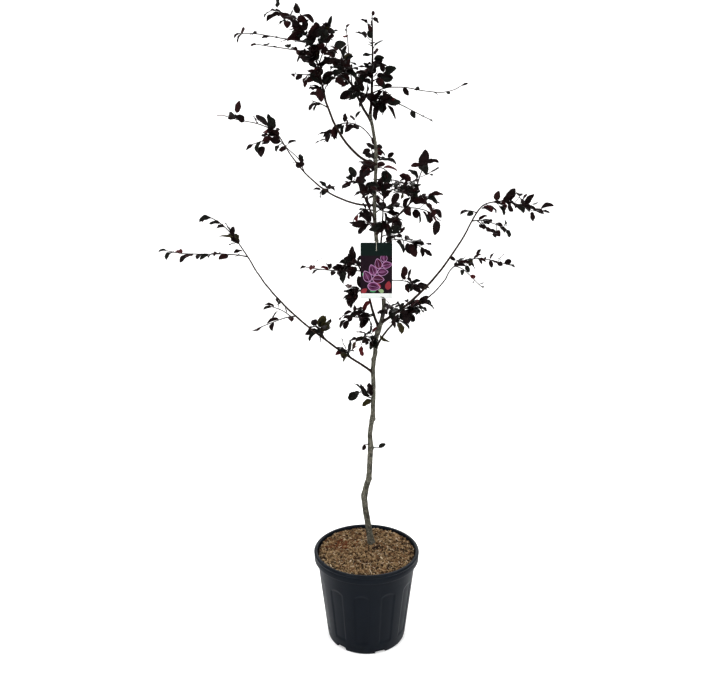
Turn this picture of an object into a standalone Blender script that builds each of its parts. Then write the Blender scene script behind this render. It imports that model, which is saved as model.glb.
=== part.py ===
"""A young copper beech in a nursery pot: pot, potting mix, trunk, boughs, leaf sprays and a hang tag.

Metres, +Z up. The origin is the centre of the pot's flat underside. Compass angles run from 0 along +X
to 90 along +Y, and -Y is the side that the tree is looked at from.
"""

import math
import random
from dataclasses import dataclass

import bmesh
import bpy
import numpy as np
from mathutils import Vector
from mathutils.bvhtree import BVHTree

GAP = 0.0003  # clearance between pieces that touch

# The pot
POT_HEIGHT = 0.330
POT_FOOT_RADIUS = 0.1475
POT_WALL_TOP_RADIUS = 0.1885
POT_RIM_RADIUS = 0.2025
POT_RIM_HEIGHT = 0.034
POT_WALL = 0.003
POT_CORNER = 0.008
POT_SIDES = 32
DRAIN_NOTCHES = 6
DRAIN_NOTCH_WIDTH = 0.042
DRAIN_NOTCH_HEIGHT = 0.015
FIRST_NOTCH = -70  # compass angle
MIX_TOP = 0.324
MIX_EDGE_DROP = 0.004

# The trunk: its sideways place at a few heights, its taper, its root flare and its knots
TRUNK_FOOT = MIX_TOP + GAP
TRUNK_TOP = 2.0
TRUNK_BENDS = [
    (TRUNK_FOOT, 0.019), (0.50, -0.008), (0.545, -0.002), (0.585, 0.009), (0.65, 0.013), (0.71, 0.016),
    (0.77, 0.014), (0.85, 0.025), (0.98, 0.027), (1.02, 0.025), (1.08, 0.032), (1.15, 0.039), (1.26, 0.066),
    (1.50, 0.040), (1.64, 0.030), (1.86, 0.035), (TRUNK_TOP, 0.013),
]
TRUNK_BACK = 0.055  # distance behind the pot's axis at its foot
TRUNK_LEAN = -0.010  # how far it leans forward by its top
TRUNK_WAVE = 0.003
TRUNK_GIRTH = [
    (TRUNK_FOOT, 0.0120), (0.55, 0.0113), (0.68, 0.0105), (0.80, 0.0089), (1.12, 0.0082), (1.30, 0.0078),
    (1.60, 0.0070), (TRUNK_TOP, 0.0058),
]  # height, radius
ROOT_FLARE = 0.0038
ROOT_FLARE_REACH = 0.022
KNOTS = [(0.52, 0.0012), (0.71, 0.0012), (0.827, 0.0018), (1.175, 0.0032)]  # height, extra radius
KNOT_REACH = 0.018
TRUNK_STATION = 0.045
TRUNK_SIDES = 8

# Boughs, twigs and leaves
BOUGH_SIDES = 5
BOUGH_STATION = 0.05
COLLAR = 0.35  # how much a bough swells where it leaves its parent
COLLAR_REACH = 0.02
TWIG_SIDES = 3
TWIG_STATION = 0.045
LEAF_WIDEST = ((0.30, 0.29), (0.66, 0.25))  # share of the length, half width there as a share of it
LEAF_KEEL = 0.020  # depth under the midrib, as a share of the length
LEAF_SUNK = 0.0004  # how far past its twig's axis a leaf is rooted
SPUR_SHARE = 0.10  # share of the leaf places that carry a short spur
SPUR_RADIUS = (0.0013, 0.0011)
GOLDEN_TURN = 2.4  # radians from one leaf to the next round an upright shoot
LEAF_TRIES = 4
TIP_LEAF = 0.7  # size of a shoot's last leaf
LIMB_CLEARANCE = 0.004
SHOOT_CLEARANCE = 0.001
TAG_CLEARANCE = 0.012
SPACE_MARGIN = 0.003
SPACE_REACH = 0.16  # a leaf or twig stays this near to its spray's own shoots

# The hang tag and its tie
TAG_WIDTH = 0.120
TAG_HEIGHT = 0.213
TAG_THICKNESS = 0.0012
TAG_TOP = 1.5155
TAG_MIDDLE = 0.037
TAG_FRONT = 0.020
TAG_CORNER = 0.004
TAG_HOLE_DROP = 0.029
TAG_HOLE_RADIUS = 0.0035
TIE_RADIUS = 0.0008


@dataclass
class Limb:
    """One limb: what it grows on, where, and its shape. The climb is given at start, middle and end."""

    on: object  # name of a limb, or the number of an earlier shoot of the same spray
    at: float  # height in metres on the trunk, share of the length on any other
    azimuth: float
    climb: tuple
    length: float
    radius: tuple  # at its foot and its tip
    leaves: tuple = None  # where the first leaf is, the spacing and the leaf length, in metres
    hang: float = 0.0  # how strongly its leaves hang, beyond the usual


BOUGHS = {
    "low_left_bough": Limb("trunk", 1.010, 200, (36, 41, 62), 0.668, (0.0040, 0.0019)),
    "right_second_bough": Limb("trunk", 1.084, 25, (75, 30, 50), 0.426, (0.0034, 0.0019)),
    "fork_left_bough": Limb("trunk", 1.186, 165, (59, 77, 64), 0.226, (0.0046, 0.0028)),
    "right_low_bough": Limb("trunk", 1.205, -20, (31, 50, 64), 0.556, (0.0047, 0.0021)),
    "back_bough": Limb("trunk", 1.420, 85, (45, 40, 60), 0.340, (0.0040, 0.0022)),
    "mid_right_bough": Limb("trunk", 1.545, -50, (38, 29, 40), 0.183, (0.0040, 0.0026)),
    "front_bough": Limb("trunk", 1.600, 252, (30, 35, 40), 0.200, (0.0034, 0.0022)),
    "mid_left_bough": Limb("trunk", 1.656, 160, (-2, 35, 57), 0.475, (0.0034, 0.0019)),
    "upper_left_bough": Limb("trunk", 1.810, 215, (10, 47, 69), 0.330, (0.0043, 0.0032)),
    "second_leader": Limb("trunk", 1.975, 150, (47, 62, 62), 0.150, (0.0044, 0.0038)),
    "leader": Limb("trunk", TRUNK_TOP, 30, (79, 86, 90), 0.100, (0.0050, 0.0040)),
}

SPRAYS = {
    "leaves_low_left_tip": [
        Limb("low_left_bough", 1, 200, (58, 50, 22), 0.215, (0.0018, 0.0012), (0.030, 0.040, 0.052)),
        Limb(0, 0.04, 185, (12, 0, 14), 0.285, (0.0016, 0.0011), (0.030, 0.034, 0.045)),
    ],
    "leaves_low_left_side": [
        Limb("low_left_bough", 0.58, 225, (4, -10, -12), 0.190, (0.0016, 0.0011), (0.030, 0.042, 0.045)),
        Limb(0, 0.12, 190, (45, 30, 10), 0.080, (0.0014, 0.0011), (0.020, 0.025, 0.050)),
    ],
    "leaves_low_left_inner": [
        Limb("low_left_bough", 0.36, 160, (65, 55, 45), 0.062, (0.0016, 0.0012), (0.016, 0.014, 0.058)),
        Limb(0, 0.35, 110, (20, 10, 0), 0.065, (0.0014, 0.0011), (0.020, 0.024, 0.055)),
    ],
    "leaves_low_left_foot": [
        Limb("low_left_bough", 0.17, 235, (60, 40, 20), 0.055, (0.0016, 0.0012), (0.016, 0.013, 0.056)),
    ],
    "leaves_mid_left_tip": [
        Limb("mid_left_bough", 1, 170, (68, 15, 24), 0.280, (0.0018, 0.0012), (0.050, 0.045, 0.066)),
        Limb(0, 0.10, 195, (-5, -15, -25), 0.110, (0.0015, 0.0011), (0.020, 0.024, 0.055)),
    ],
    "leaves_mid_left_side": [
        Limb("mid_left_bough", 0.70, 150, (80, 39, 46), 0.170, (0.0016, 0.0011), (0.045, 0.040, 0.045)),
    ],
    "leaves_mid_left_inner": [
        Limb("mid_left_bough", 0.42, 100, (25, 30, 10), 0.050, (0.0015, 0.0011), (0.020, 0.018, 0.055)),
    ],
    "leaves_upper_left": [
        Limb("upper_left_bough", 1, 220, (73, 63, 4), 0.363, (0.0031, 0.0014), (0.030, 0.022, 0.062)),
        Limb(0, 0.47, 170, (9, 10, 11), 0.215, (0.0016, 0.0011), (0.025, 0.036, 0.042)),
        Limb(0, 0.59, 195, (-6, 7, -8), 0.240, (0.0016, 0.0011), (0.025, 0.036, 0.040)),
        Limb(0, 0.25, 210, (0, -4, -4), 0.105, (0.0014, 0.0011), (0.020, 0.028, 0.038)),
        Limb(0, 0.33, 300, (50, 45, 30), 0.120, (0.0016, 0.0012), (0.020, 0.024, 0.055)),
        Limb(0, 0.55, 60, (50, 40, 30), 0.110, (0.0016, 0.0012), (0.020, 0.024, 0.055)),
        Limb(0, 0.14, 20, (45, 35, 30), 0.120, (0.0016, 0.0012), (0.025, 0.026, 0.052)),
        Limb(0, 0.74, 120, (60, 50, 40), 0.045, (0.0015, 0.0012), (0.014, 0.014, 0.078)),
        Limb(0, 0.40, 250, (20, 10, -10), 0.080, (0.0015, 0.0012), (0.018, 0.020, 0.050)),
    ],
    "leaves_upper_left_foot": [
        Limb("upper_left_bough", 0.92, 205, (25, 20, 10), 0.060, (0.0016, 0.0012), (0.025, 0.024, 0.052)),
    ],
    "leaves_arching_twig": [
        Limb("trunk", 1.872, 200, (73, 11, -84), 0.265, (0.0018, 0.0011), (0.105, 0.022, 0.054)),
    ],
    "leaves_second_leader": [
        Limb("second_leader", 1, 160, (54, 50, 75), 0.165, (0.0037, 0.0014), (0.020, 0.022, 0.060)),
        Limb(0, 0.06, 105, (60, 70, 75), 0.260, (0.0018, 0.0011), (0.110, 0.034, 0.036)),
        Limb(0, 0.25, 250, (40, 30, 20), 0.100, (0.0016, 0.0012), (0.020, 0.024, 0.055)),
        Limb(0, 0.50, 80, (45, 40, 30), 0.090, (0.0016, 0.0012), (0.020, 0.024, 0.052)),
    ],
    "leaves_leader": [
        Limb("leader", 1, 30, (88, 90, 91), 0.265, (0.0039, 0.0013), (0.018, 0.026, 0.046)),
        Limb(0, 0.08, 335, (20, 30, 40), 0.070, (0.0016, 0.0012), (0.018, 0.020, 0.055)),
        Limb(0, 0.14, 235, (15, 10, 0), 0.070, (0.0016, 0.0012), (0.018, 0.018, 0.055)),
        Limb(0, 0.22, 110, (30, 25, 20), 0.080, (0.0016, 0.0012), (0.020, 0.022, 0.050)),
    ],
    "leaves_leader_left": [
        Limb("leader", 0.55, 212, (35, 20, 0), 0.085, (0.0016, 0.0012), (0.018, 0.015, 0.056)),
        Limb(0, 0.25, 150, (30, 20, 0), 0.070, (0.0015, 0.0012), (0.018, 0.016, 0.056)),
    ],
    "leaves_leader_right": [
        Limb("leader", 0.75, 25, (35, -5, 38), 0.420, (0.0018, 0.0011), (0.060, 0.062, 0.036)),
    ],
    "leaves_leader_right_low": [
        Limb("leader", 0.40, -25, (21, -25, -22), 0.250, (0.0018, 0.0011), (0.070, 0.050, 0.034)),
        Limb(0, 0.10, 285, (10, -10, -30), 0.060, (0.0015, 0.0012), (0.016, 0.015, 0.064)),
    ],
    "leaves_right_low_tip": [
        Limb("right_low_bough", 1, -10, (70, -8, -7), 0.262, (0.0020, 0.0012), (0.030, 0.025, 0.052)),
        Limb(0, 0.05, 205, (20, 10, 0), 0.045, (0.0015, 0.0012), (0.018, 0.016, 0.042)),
    ],
    "leaves_right_low_side": [
        Limb("right_low_bough", 0.96, 12, (15, -18, -22), 0.140, (0.0015, 0.0011), (0.030, 0.026, 0.045)),
        Limb(0, 0.15, 330, (-30, -40, -30), 0.055, (0.0014, 0.0011), (0.016, 0.016, 0.050)),
    ],
    "leaves_right_low_inner": [
        Limb("right_low_bough", 0.13, 325, (20, 5, -20), 0.065, (0.0016, 0.0012), (0.020, 0.018, 0.058)),
        Limb(0, 0.30, 15, (40, 30, 20), 0.050, (0.0015, 0.0012), (0.018, 0.018, 0.056)),
    ],
    "leaves_right_mid": [
        Limb("trunk", 1.362, 12, (12, -8, -35), 0.155, (0.0016, 0.0011), (0.075, 0.022, 0.055)),
    ],
    "leaves_right_second": [
        Limb("right_second_bough", 1, 15, (74, 2, -14), 0.320, (0.0018, 0.0012), (0.060, 0.028, 0.045)),
        Limb(0, 0.22, 40, (-10, -36, -30), 0.200, (0.0015, 0.0011), (0.050, 0.044, 0.030)),
    ],
    "leaves_right_second_inner": [
        Limb("right_second_bough", 0.55, 330, (50, 30, 10), 0.045, (0.0015, 0.0012), (0.018, 0.015, 0.052)),
        Limb(0, 0.40, 300, (40, 30, 20), 0.040, (0.0014, 0.0012), (0.016, 0.016, 0.048)),
    ],
    "leaves_right_second_foot": [
        Limb("right_second_bough", 0.33, 60, (20, 0, -20), 0.060, (0.0016, 0.0012), (0.022, 0.022, 0.058)),
    ],
    "leaves_fork_left": [
        Limb("fork_left_bough", 1, 165, (64, 60, 60), 0.065, (0.0027, 0.0014), (0.018, 0.018, 0.054)),
        Limb(0, 0.06, 220, (4, 6, 13), 0.265, (0.0016, 0.0011), (0.075, 0.048, 0.045)),
        Limb(0, 0.40, 150, (10, 0, -20), 0.080, (0.0015, 0.0012), (0.020, 0.022, 0.056)),
    ],
    "leaves_fork_left_side": [
        Limb("fork_left_bough", 0.66, 212, (20, -5, -25), 0.065, (0.0015, 0.0012), (0.018, 0.013, 0.056)),
        Limb(0, 0.30, 160, (-10, -20, -30), 0.055, (0.0014, 0.0012), (0.016, 0.014, 0.054)),
    ],
    "leaves_front_left_low": [
        Limb("fork_left_bough", 0.23, 235, (-7, 10, 11), 0.200, (0.0016, 0.0011), (0.080, 0.030, 0.050)),
        Limb(0, 0.18, 170, (50, 40, 30), 0.045, (0.0014, 0.0012), (0.018, 0.016, 0.054)),
    ],
    "leaves_left_low": [
        Limb("trunk", 1.145, 240, (-10, 12, -4), 0.150, (0.0016, 0.0011), (0.050, 0.028, 0.048)),
        Limb(0, 0.25, 290, (30, 10, 0), 0.050, (0.0014, 0.0012), (0.016, 0.016, 0.050)),
    ],
    "leaves_mid_right": [
        Limb("mid_right_bough", 1, -50, (20, 68, 44), 0.200, (0.0025, 0.0012), (0.025, 0.026, 0.060)),
        Limb(0, 0.05, -35, (1, -15, -44), 0.150, (0.0016, 0.0011), (0.040, 0.026, 0.050), 0.9),
        Limb(0, 0.18, 20, (30, 15, 5), 0.100, (0.0016, 0.0012), (0.020, 0.024, 0.058)),
        Limb(0, 0.30, 240, (30, 15, 0), 0.090, (0.0016, 0.0012), (0.020, 0.024, 0.056)),
    ],
    "leaves_mid_right_inner": [
        Limb("mid_right_bough", 0.45, 255, (20, 0, -20), 0.075, (0.0016, 0.0012), (0.022, 0.022, 0.060)),
    ],
    "leaves_mid_right_low": [
        Limb("trunk", 1.495, -8, (47, -4, -33), 0.190, (0.0017, 0.0011), (0.040, 0.034, 0.060)),
    ],
    "leaves_mid_right_high": [
        Limb("trunk", 1.753, 10, (13, -14, -20), 0.150, (0.0016, 0.0011), (0.070, 0.024, 0.058)),
    ],
    "leaves_left_small": [
        Limb("trunk", 1.636, 190, (20, -15, -70), 0.085, (0.0016, 0.0011), (0.050, 0.020, 0.040)),
    ],
    "leaves_trunk_left": [
        Limb("trunk", 1.690, 215, (40, 20, 0), 0.050, (0.0016, 0.0012), (0.018, 0.015, 0.048)),
    ],
    "leaves_trunk_right": [
        Limb("trunk", 1.625, 20, (40, 20, 0), 0.090, (0.0016, 0.0012), (0.026, 0.020, 0.056)),
        Limb(0, 0.30, 340, (-10, -25, -40), 0.075, (0.0015, 0.0012), (0.018, 0.018, 0.054)),
    ],
    "leaves_trunk_high_left": [
        Limb("trunk", 1.785, 200, (35, 30, 20), 0.045, (0.0015, 0.0012), (0.030, 0.016, 0.066)),
    ],
    "leaves_trunk_high_right": [
        Limb("trunk", 1.800, -15, (10, -25, -45), 0.055, (0.0015, 0.0012), (0.022, 0.018, 0.058)),
    ],
    "leaves_above_tag": [
        Limb("trunk", 1.560, 200, (50, 40, 30), 0.060, (0.0015, 0.0012), (0.020, 0.012, 0.062)),
    ],
    "leaves_lowest": [
        Limb("trunk", 0.905, 205, (6, 43, 60), 0.070, (0.0017, 0.0012), (0.046, 0.009, 0.060)),
    ],
    "leaves_knot": [
        Limb("trunk", 0.706, -15, (25, 10, 0), 0.034, (0.0015, 0.0012), (0.030, 0.020, 0.050)),
    ],
    "leaves_knot_left": [
        Limb("trunk", 0.722, 215, (20, 10, 0), 0.028, (0.0015, 0.0012), (0.024, 0.020, 0.034)),
    ],
    "leaves_back": [
        Limb("back_bough", 1, 85, (55, 40, 20), 0.200, (0.0021, 0.0012), (0.025, 0.028, 0.056)),
        Limb(0, 0.10, 130, (30, 20, 0), 0.130, (0.0016, 0.0011), (0.025, 0.028, 0.054)),
        Limb(0, 0.25, 35, (30, 20, 0), 0.130, (0.0016, 0.0011), (0.025, 0.028, 0.054)),
    ],
    "leaves_back_inner": [
        Limb("back_bough", 0.50, 45, (20, 0, -15), 0.090, (0.0016, 0.0012), (0.025, 0.026, 0.056)),
    ],
    "leaves_back_high": [
        Limb("trunk", 1.770, 95, (45, 35, 15), 0.210, (0.0018, 0.0011), (0.050, 0.028, 0.054)),
        Limb(0, 0.35, 50, (30, 15, 0), 0.090, (0.0015, 0.0012), (0.022, 0.026, 0.050)),
    ],
    "leaves_front": [
        Limb("front_bough", 1, 250, (40, 10, -20), 0.120, (0.0021, 0.0012), (0.022, 0.026, 0.055)),
        Limb(0, 0.10, 295, (20, 0, -25), 0.085, (0.0015, 0.0012), (0.022, 0.026, 0.052)),
    ],
    "leaves_front_right_low": [
        Limb("trunk", 1.250, 300, (30, 5, -20), 0.150, (0.0017, 0.0011), (0.050, 0.026, 0.058)),
    ],
}


def smooth_curve(x, knots):
    """Height of the smooth curve through the knots at x, each bend eased towards its neighbours."""
    for (x1, y1), (x2, y2) in zip(knots, knots[1:]):
        if x <= x2:
            break
    index = knots.index((x1, y1))
    slopes = []
    for k in (index, index + 1):
        before, after = knots[max(k - 1, 0)], knots[min(k + 1, len(knots) - 1)]
        slopes.append((after[1] - before[1]) / (after[0] - before[0]))
    t = (x - x1) / (x2 - x1)
    width = x2 - x1
    ease = t * t * (3 - 2 * t)
    bend_in, bend_out = t * (1 - t) ** 2, t * t * (t - 1)
    return y1 + (y2 - y1) * ease + width * (slopes[0] * bend_in + slopes[1] * bend_out)


def trunk_point(height):
    share = (height - TRUNK_FOOT) / (TRUNK_TOP - TRUNK_FOOT)
    back = TRUNK_BACK + TRUNK_LEAN * share + TRUNK_WAVE * math.sin(9 * share)
    return Vector((smooth_curve(height, TRUNK_BENDS), back, height))


def trunk_radius(height):
    radius = smooth_curve(height, TRUNK_GIRTH)
    radius += ROOT_FLARE * math.exp(-(height - TRUNK_FOOT) / ROOT_FLARE_REACH)
    for knot, extra in KNOTS:
        radius += extra * math.exp(-(((height - knot) / KNOT_REACH) ** 2))
    return radius


def trunk_path():
    count = round((TRUNK_TOP - TRUNK_FOOT) / TRUNK_STATION)
    near_foot = [TRUNK_FOOT + step for step in (0.0, 0.008, 0.02)]
    rest = [TRUNK_FOOT + (TRUNK_TOP - TRUNK_FOOT) * k / count for k in range(1, count + 1)]
    heights = near_foot + rest
    return [trunk_point(h) for h in heights], [trunk_radius(h) for h in heights]


def limb_path(start, limb, station):
    """Points along a limb, which turns evenly from one climb to the next, and its radius at each."""
    count = max(2, round(limb.length / station))
    first, middle, last = limb.climb
    step = limb.length / count
    points, radii = [Vector(start)], [limb.radius[0]]
    fine = 8
    for k in range(count * fine):
        s = (k + 0.5) / (count * fine)
        climb = first * (1 - s) * (1 - 2 * s) + middle * 4 * s * (1 - s) + last * s * (2 * s - 1)
        climb, azimuth = math.radians(climb), math.radians(limb.azimuth)
        level = math.cos(climb)
        ahead = Vector((level * math.cos(azimuth), level * math.sin(azimuth), math.sin(climb)))
        if k % fine == 0:
            points.append(points[-1].copy())
            radii.append(0)
        points[-1] += ahead * (step / fine)
        radii[-1] = limb.radius[0] + (limb.radius[1] - limb.radius[0]) * (k + 1) / (count * fine)
    return points, radii


def point_along(points, distance):
    """The point and the direction at a distance along a path."""
    for a, b in zip(points, points[1:]):
        span = (b - a).length
        if distance <= span or b is points[-1]:
            break
        distance -= span
    ahead = (b - a).normalized()
    return a + ahead * distance, ahead


def tube(points, radii, sides, foot=None):
    """A closed tube of flat-sided rings, square to the path, the first of them square to foot if given."""
    verts, faces = [], []
    across = None
    for k, (point, radius) in enumerate(zip(points, radii)):
        before, after = points[max(k - 1, 0)], points[min(k + 1, len(points) - 1)]
        ahead = foot if foot and k == 0 else (after - before).normalized()
        if across is None:
            across = ahead.orthogonal()
        across = (across - ahead * across.dot(ahead)).normalized()
        other = ahead.cross(across)
        for side in range(sides):
            angle = 2 * math.pi * side / sides
            verts.append(point + (across * math.cos(angle) + other * math.sin(angle)) * radius)
    for k in range(len(points) - 1):
        for side in range(sides):
            a, b = k * sides + side, k * sides + (side + 1) % sides
            faces.append((a, b, b + sides, a + sides))
    faces.append(tuple(reversed(range(sides))))
    faces.append(tuple(range(len(verts) - sides, len(verts))))
    return verts, faces


def material(name, colour, roughness, metallic=0.0):
    made = bpy.data.materials.new(name)
    made.use_nodes = True
    shader = made.node_tree.nodes["Principled BSDF"]
    shader.inputs["Base Color"].default_value = (*colour, 1)
    shader.inputs["Roughness"].default_value = roughness
    shader.inputs["Metallic"].default_value = metallic
    made.diffuse_color = (*colour, 1)
    return made


def add_mesh(name, verts, faces, finish=None):
    mesh = bpy.data.meshes.new(name)
    mesh.from_pydata([tuple(v) for v in verts], [], faces)
    if finish:
        mesh.materials.append(finish)
    made = bpy.data.objects.new(name, mesh)
    bpy.context.scene.collection.objects.link(made)
    return made


def add_turned(name, profile, finish):
    """A closed solid turned about Z from (radius, height) points that start and end on the axis."""
    shape = bmesh.new()
    ring = [shape.verts.new((radius, 0, height)) for radius, height in profile]
    edges = [shape.edges.new(pair) for pair in zip(ring, ring[1:])]
    bmesh.ops.spin(
        shape, geom=ring + edges, axis=(0, 0, 1), angle=2 * math.pi, steps=POT_SIDES, use_merge=True
    )
    bmesh.ops.remove_doubles(shape, verts=shape.verts, dist=1e-5)
    bmesh.ops.recalc_face_normals(shape, faces=shape.faces)
    mesh = bpy.data.meshes.new(name)
    shape.to_mesh(mesh)
    shape.free()
    mesh.materials.append(finish)
    mesh.shade_smooth()
    mesh.set_sharp_from_angle(angle=math.radians(35))
    made = bpy.data.objects.new(name, mesh)
    bpy.context.scene.collection.objects.link(made)
    return made


def arc(centre, radius, start, end, steps):
    """Points on an arc from one angle to another, both in degrees."""
    angles = [math.radians(start + (end - start) * k / steps) for k in range(steps + 1)]
    return [(centre[0] + radius * math.cos(a), centre[1] + radius * math.sin(a)) for a in angles]


def wall_radius(height):
    """Outer radius of the pot's tapered wall."""
    rise = POT_HEIGHT - POT_RIM_HEIGHT
    return POT_FOOT_RADIUS + (POT_WALL_TOP_RADIUS - POT_FOOT_RADIUS) * height / rise


def add_pot():
    finish = material("pot plastic", (0.012, 0.018, 0.026), 0.45)
    under_rim = POT_HEIGHT - POT_RIM_HEIGHT
    lip = 0.006
    corner = arc((POT_FOOT_RADIUS - POT_CORNER, POT_CORNER), POT_CORNER, -90, 0, 3)
    rim = arc((POT_RIM_RADIUS - lip, POT_HEIGHT - lip), lip, 0, 90, 3)
    inner = POT_WALL_TOP_RADIUS - POT_WALL
    profile = [(0, 0)] + corner
    profile += [(wall_radius(under_rim), under_rim), (POT_RIM_RADIUS - 0.002, under_rim)]
    profile += [(POT_RIM_RADIUS, under_rim + 0.004)] + rim
    profile += [(inner + 0.002, POT_HEIGHT), (inner, POT_HEIGHT - 0.004), (inner, under_rim)]
    profile += [(wall_radius(POT_WALL) - POT_WALL, POT_WALL), (0, POT_WALL)]
    pot = add_turned("pot", profile, finish)
    for k in range(DRAIN_NOTCHES):
        cutter = add_notch_cutter(f"drain_notch_{k + 1}", FIRST_NOTCH + 360 * k / DRAIN_NOTCHES)
        cut = pot.modifiers.new(cutter.name, "BOOLEAN")
        cut.operation = "DIFFERENCE"
        cut.object = cutter
    return pot


def add_notch_cutter(name, azimuth):
    """An arch that crosses the pot's lower edge at one compass angle."""
    half, crown = DRAIN_NOTCH_WIDTH / 2, DRAIN_NOTCH_HEIGHT
    outline = [(-half, -0.01), (half, -0.01)] + arc((half - 0.008, crown - 0.008), 0.008, 0, 90, 3)
    outline += arc((0.008 - half, crown - 0.008), 0.008, 90, 180, 3)
    near, far = POT_FOOT_RADIUS - 0.013, POT_FOOT_RADIUS + 0.02
    count = len(outline)
    verts = [(near, y, z) for y, z in outline] + [(far, y, z) for y, z in outline]
    faces = [(k, (k + 1) % count, (k + 1) % count + count, k + count) for k in range(count)]
    faces += [tuple(reversed(range(count))), tuple(range(count, 2 * count))]
    cutter = add_mesh(name, verts, faces)
    cutter.rotation_euler.z = math.radians(azimuth)
    cutter.hide_render = True
    cutter.display_type = "WIRE"
    face_outwards(cutter.data)
    return cutter


def add_potting_mix():
    finish = material("potting mix", (0.13, 0.088, 0.045), 0.95)
    edge = MIX_TOP - MIX_EDGE_DROP
    inside = POT_WALL + GAP
    under_rim = POT_HEIGHT - POT_RIM_HEIGHT
    chamfer = 0.022  # it stands back from the drain notches
    profile = [
        (0, inside),
        (wall_radius(inside) - inside - chamfer, inside),
        (wall_radius(chamfer) - inside, inside + chamfer),
        (POT_WALL_TOP_RADIUS - inside, under_rim),
        (POT_WALL_TOP_RADIUS - inside, edge),
        (POT_WALL_TOP_RADIUS - inside - 0.02, MIX_TOP),
        (0, MIX_TOP),
    ]
    return add_turned("potting_mix", profile, finish)


def face_outwards(mesh):
    shape = bmesh.new()
    shape.from_mesh(mesh)
    bmesh.ops.recalc_face_normals(shape, faces=shape.faces)
    shape.to_mesh(mesh)
    shape.free()


def apply_boolean(made, operation, others, solver="EXACT"):
    """Joins the other objects to a mesh, or takes them out of it, and removes them."""
    group = bpy.data.collections.new(made.name + " pieces")
    bpy.context.scene.collection.children.link(group)
    for other in others:
        bpy.context.scene.collection.objects.unlink(other)
        group.objects.link(other)
    step = made.modifiers.new(operation.lower(), "BOOLEAN")
    step.operation = operation
    step.operand_type = "COLLECTION"
    step.collection = group
    step.solver = solver
    bpy.context.view_layer.update()
    graph = bpy.context.evaluated_depsgraph_get()
    result = bpy.data.meshes.new_from_object(made.evaluated_get(graph))
    made.modifiers.remove(step)
    made.data = result
    for other in list(group.objects):
        bpy.data.objects.remove(other)
    bpy.data.collections.remove(group)


def start_of(limb, paths):
    """Where a limb starts: on its parent's axis, or a hair past the parent's tip."""
    if limb.on == "trunk" and limb.at < TRUNK_TOP:
        return trunk_point(limb.at)
    points, _ = paths[limb.on]
    length = sum((b - a).length for a, b in zip(points, points[1:]))
    share = 1 if limb.on == "trunk" else limb.at
    point, ahead = point_along(points, length * share)
    return point + ahead * GAP if share == 1 else point


def continues(limb):
    return limb.at == 1 or limb.at == TRUNK_TOP


def foot_of(limb, paths):
    """The way that a parent ends, where a limb goes on from its tip."""
    return point_along(paths[limb.on][0], math.inf)[1] if continues(limb) else None


def with_collar(points, radii):
    """Radii that swell towards the foot, as a bough does where it joins its parent."""
    start = points[0]
    return [r * (1 + COLLAR * math.exp(-(p - start).length / COLLAR_REACH)) for p, r in zip(points, radii)]


def add_limb(name, points, radii, sides, finish=None, foot=None):
    made = add_mesh(name, *tube(points, radii, sides, foot), finish)
    face_outwards(made.data)
    return made


def fit_to_parent(made, limb, paths):
    """Hollows the foot of a limb to its parent's side, with the usual clearance."""
    if continues(limb):
        return
    points, radii = paths[limb.on]
    sides = TRUNK_SIDES if limb.on == "trunk" else BOUGH_SIDES
    facet = math.cos(math.pi / sides)
    cutter = add_limb(made.name + " seat", points, [r + GAP / facet for r in radii], sides)
    apply_boolean(made, "DIFFERENCE", [cutter])
    keep_longest(made.data)


def keep_longest(mesh):
    """Drops loose scraps and sealed hollows: only the shell with the most corners stays."""
    shape = bmesh.new()
    shape.from_mesh(mesh)
    pieces, seen = [], set()
    for vert in shape.verts:
        if vert in seen:
            continue
        piece, front = {vert}, [vert]
        while front:
            here = front.pop()
            beside = {edge.other_vert(here) for edge in here.link_edges} - piece
            piece |= beside
            front += beside
        seen |= piece
        pieces.append(piece)
    longest = max(pieces, key=len)
    bmesh.ops.delete(shape, geom=[vert for vert in shape.verts if vert not in longest], context="VERTS")
    shape.to_mesh(mesh)
    shape.free()


def leaf_solid(root, ahead, face, length):
    """A thin closed leaf: a pointed root, two wide stations and a tip, with a keel under the midrib."""
    across = ahead.cross(face)
    keel = LEAF_KEEL * length
    verts = [root]
    for share, half in LEAF_WIDEST:
        middle = root + ahead * (share * length)
        verts += [middle - across * (half * length), middle + across * (half * length), middle - face * keel]
    verts.append(root + ahead * length)
    faces = [(0, 1, 2), (0, 2, 3), (0, 3, 1), (4, 7, 5), (5, 7, 6), (6, 7, 4)]
    faces += [(1, 4, 5, 2), (2, 5, 6, 3), (3, 6, 4, 1)]
    return verts, faces


def leaf_outline(root, ahead, face, length):
    """Points over a leaf's blade, to test where it lies."""
    across = ahead.cross(face)
    spots = [root + ahead * (share * length) for share in (0.25, 0.5, 0.75, 1.0)]
    for share, half in LEAF_WIDEST:
        middle = root + ahead * (share * length)
        spots += [middle + across * (half * length), middle - across * (half * length)]
    return spots


def segments_of(paths):
    """Start points, end points and radii of all the straight pieces of some paths."""
    starts = [a for points, _ in paths for a in points[:-1]]
    ends = [b for points, _ in paths for b in points[1:]]
    radii = [max(pair) for _, radii in paths for pair in zip(radii, radii[1:])]
    return np.array(starts), np.array(ends), np.array(radii)


def nearest(spots, segments):
    """For each spot, the distance to the nearest of the segments' surfaces."""
    starts, ends, radii = segments
    run = ends - starts
    offset = spots[:, None, :] - starts[None]
    share = np.clip((offset * run).sum(2) / (run * run).sum(1), 0, 1)
    gap = np.linalg.norm(offset - share[..., None] * run, axis=2) - radii
    return gap.min(axis=1)


def blade_tree(root, ahead, face, length):
    """A search tree of a leaf's blade, from just off its twig to its tip."""
    across = ahead.cross(face)
    spots = [root + ahead * 0.003, root + ahead * length]
    for share, half in LEAF_WIDEST:
        middle = root + ahead * (share * length)
        spots += [middle + across * (half * length), middle - across * (half * length)]
    return BVHTree.FromPolygons(spots, [(0, 2, 4, 1, 5, 3)])


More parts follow.
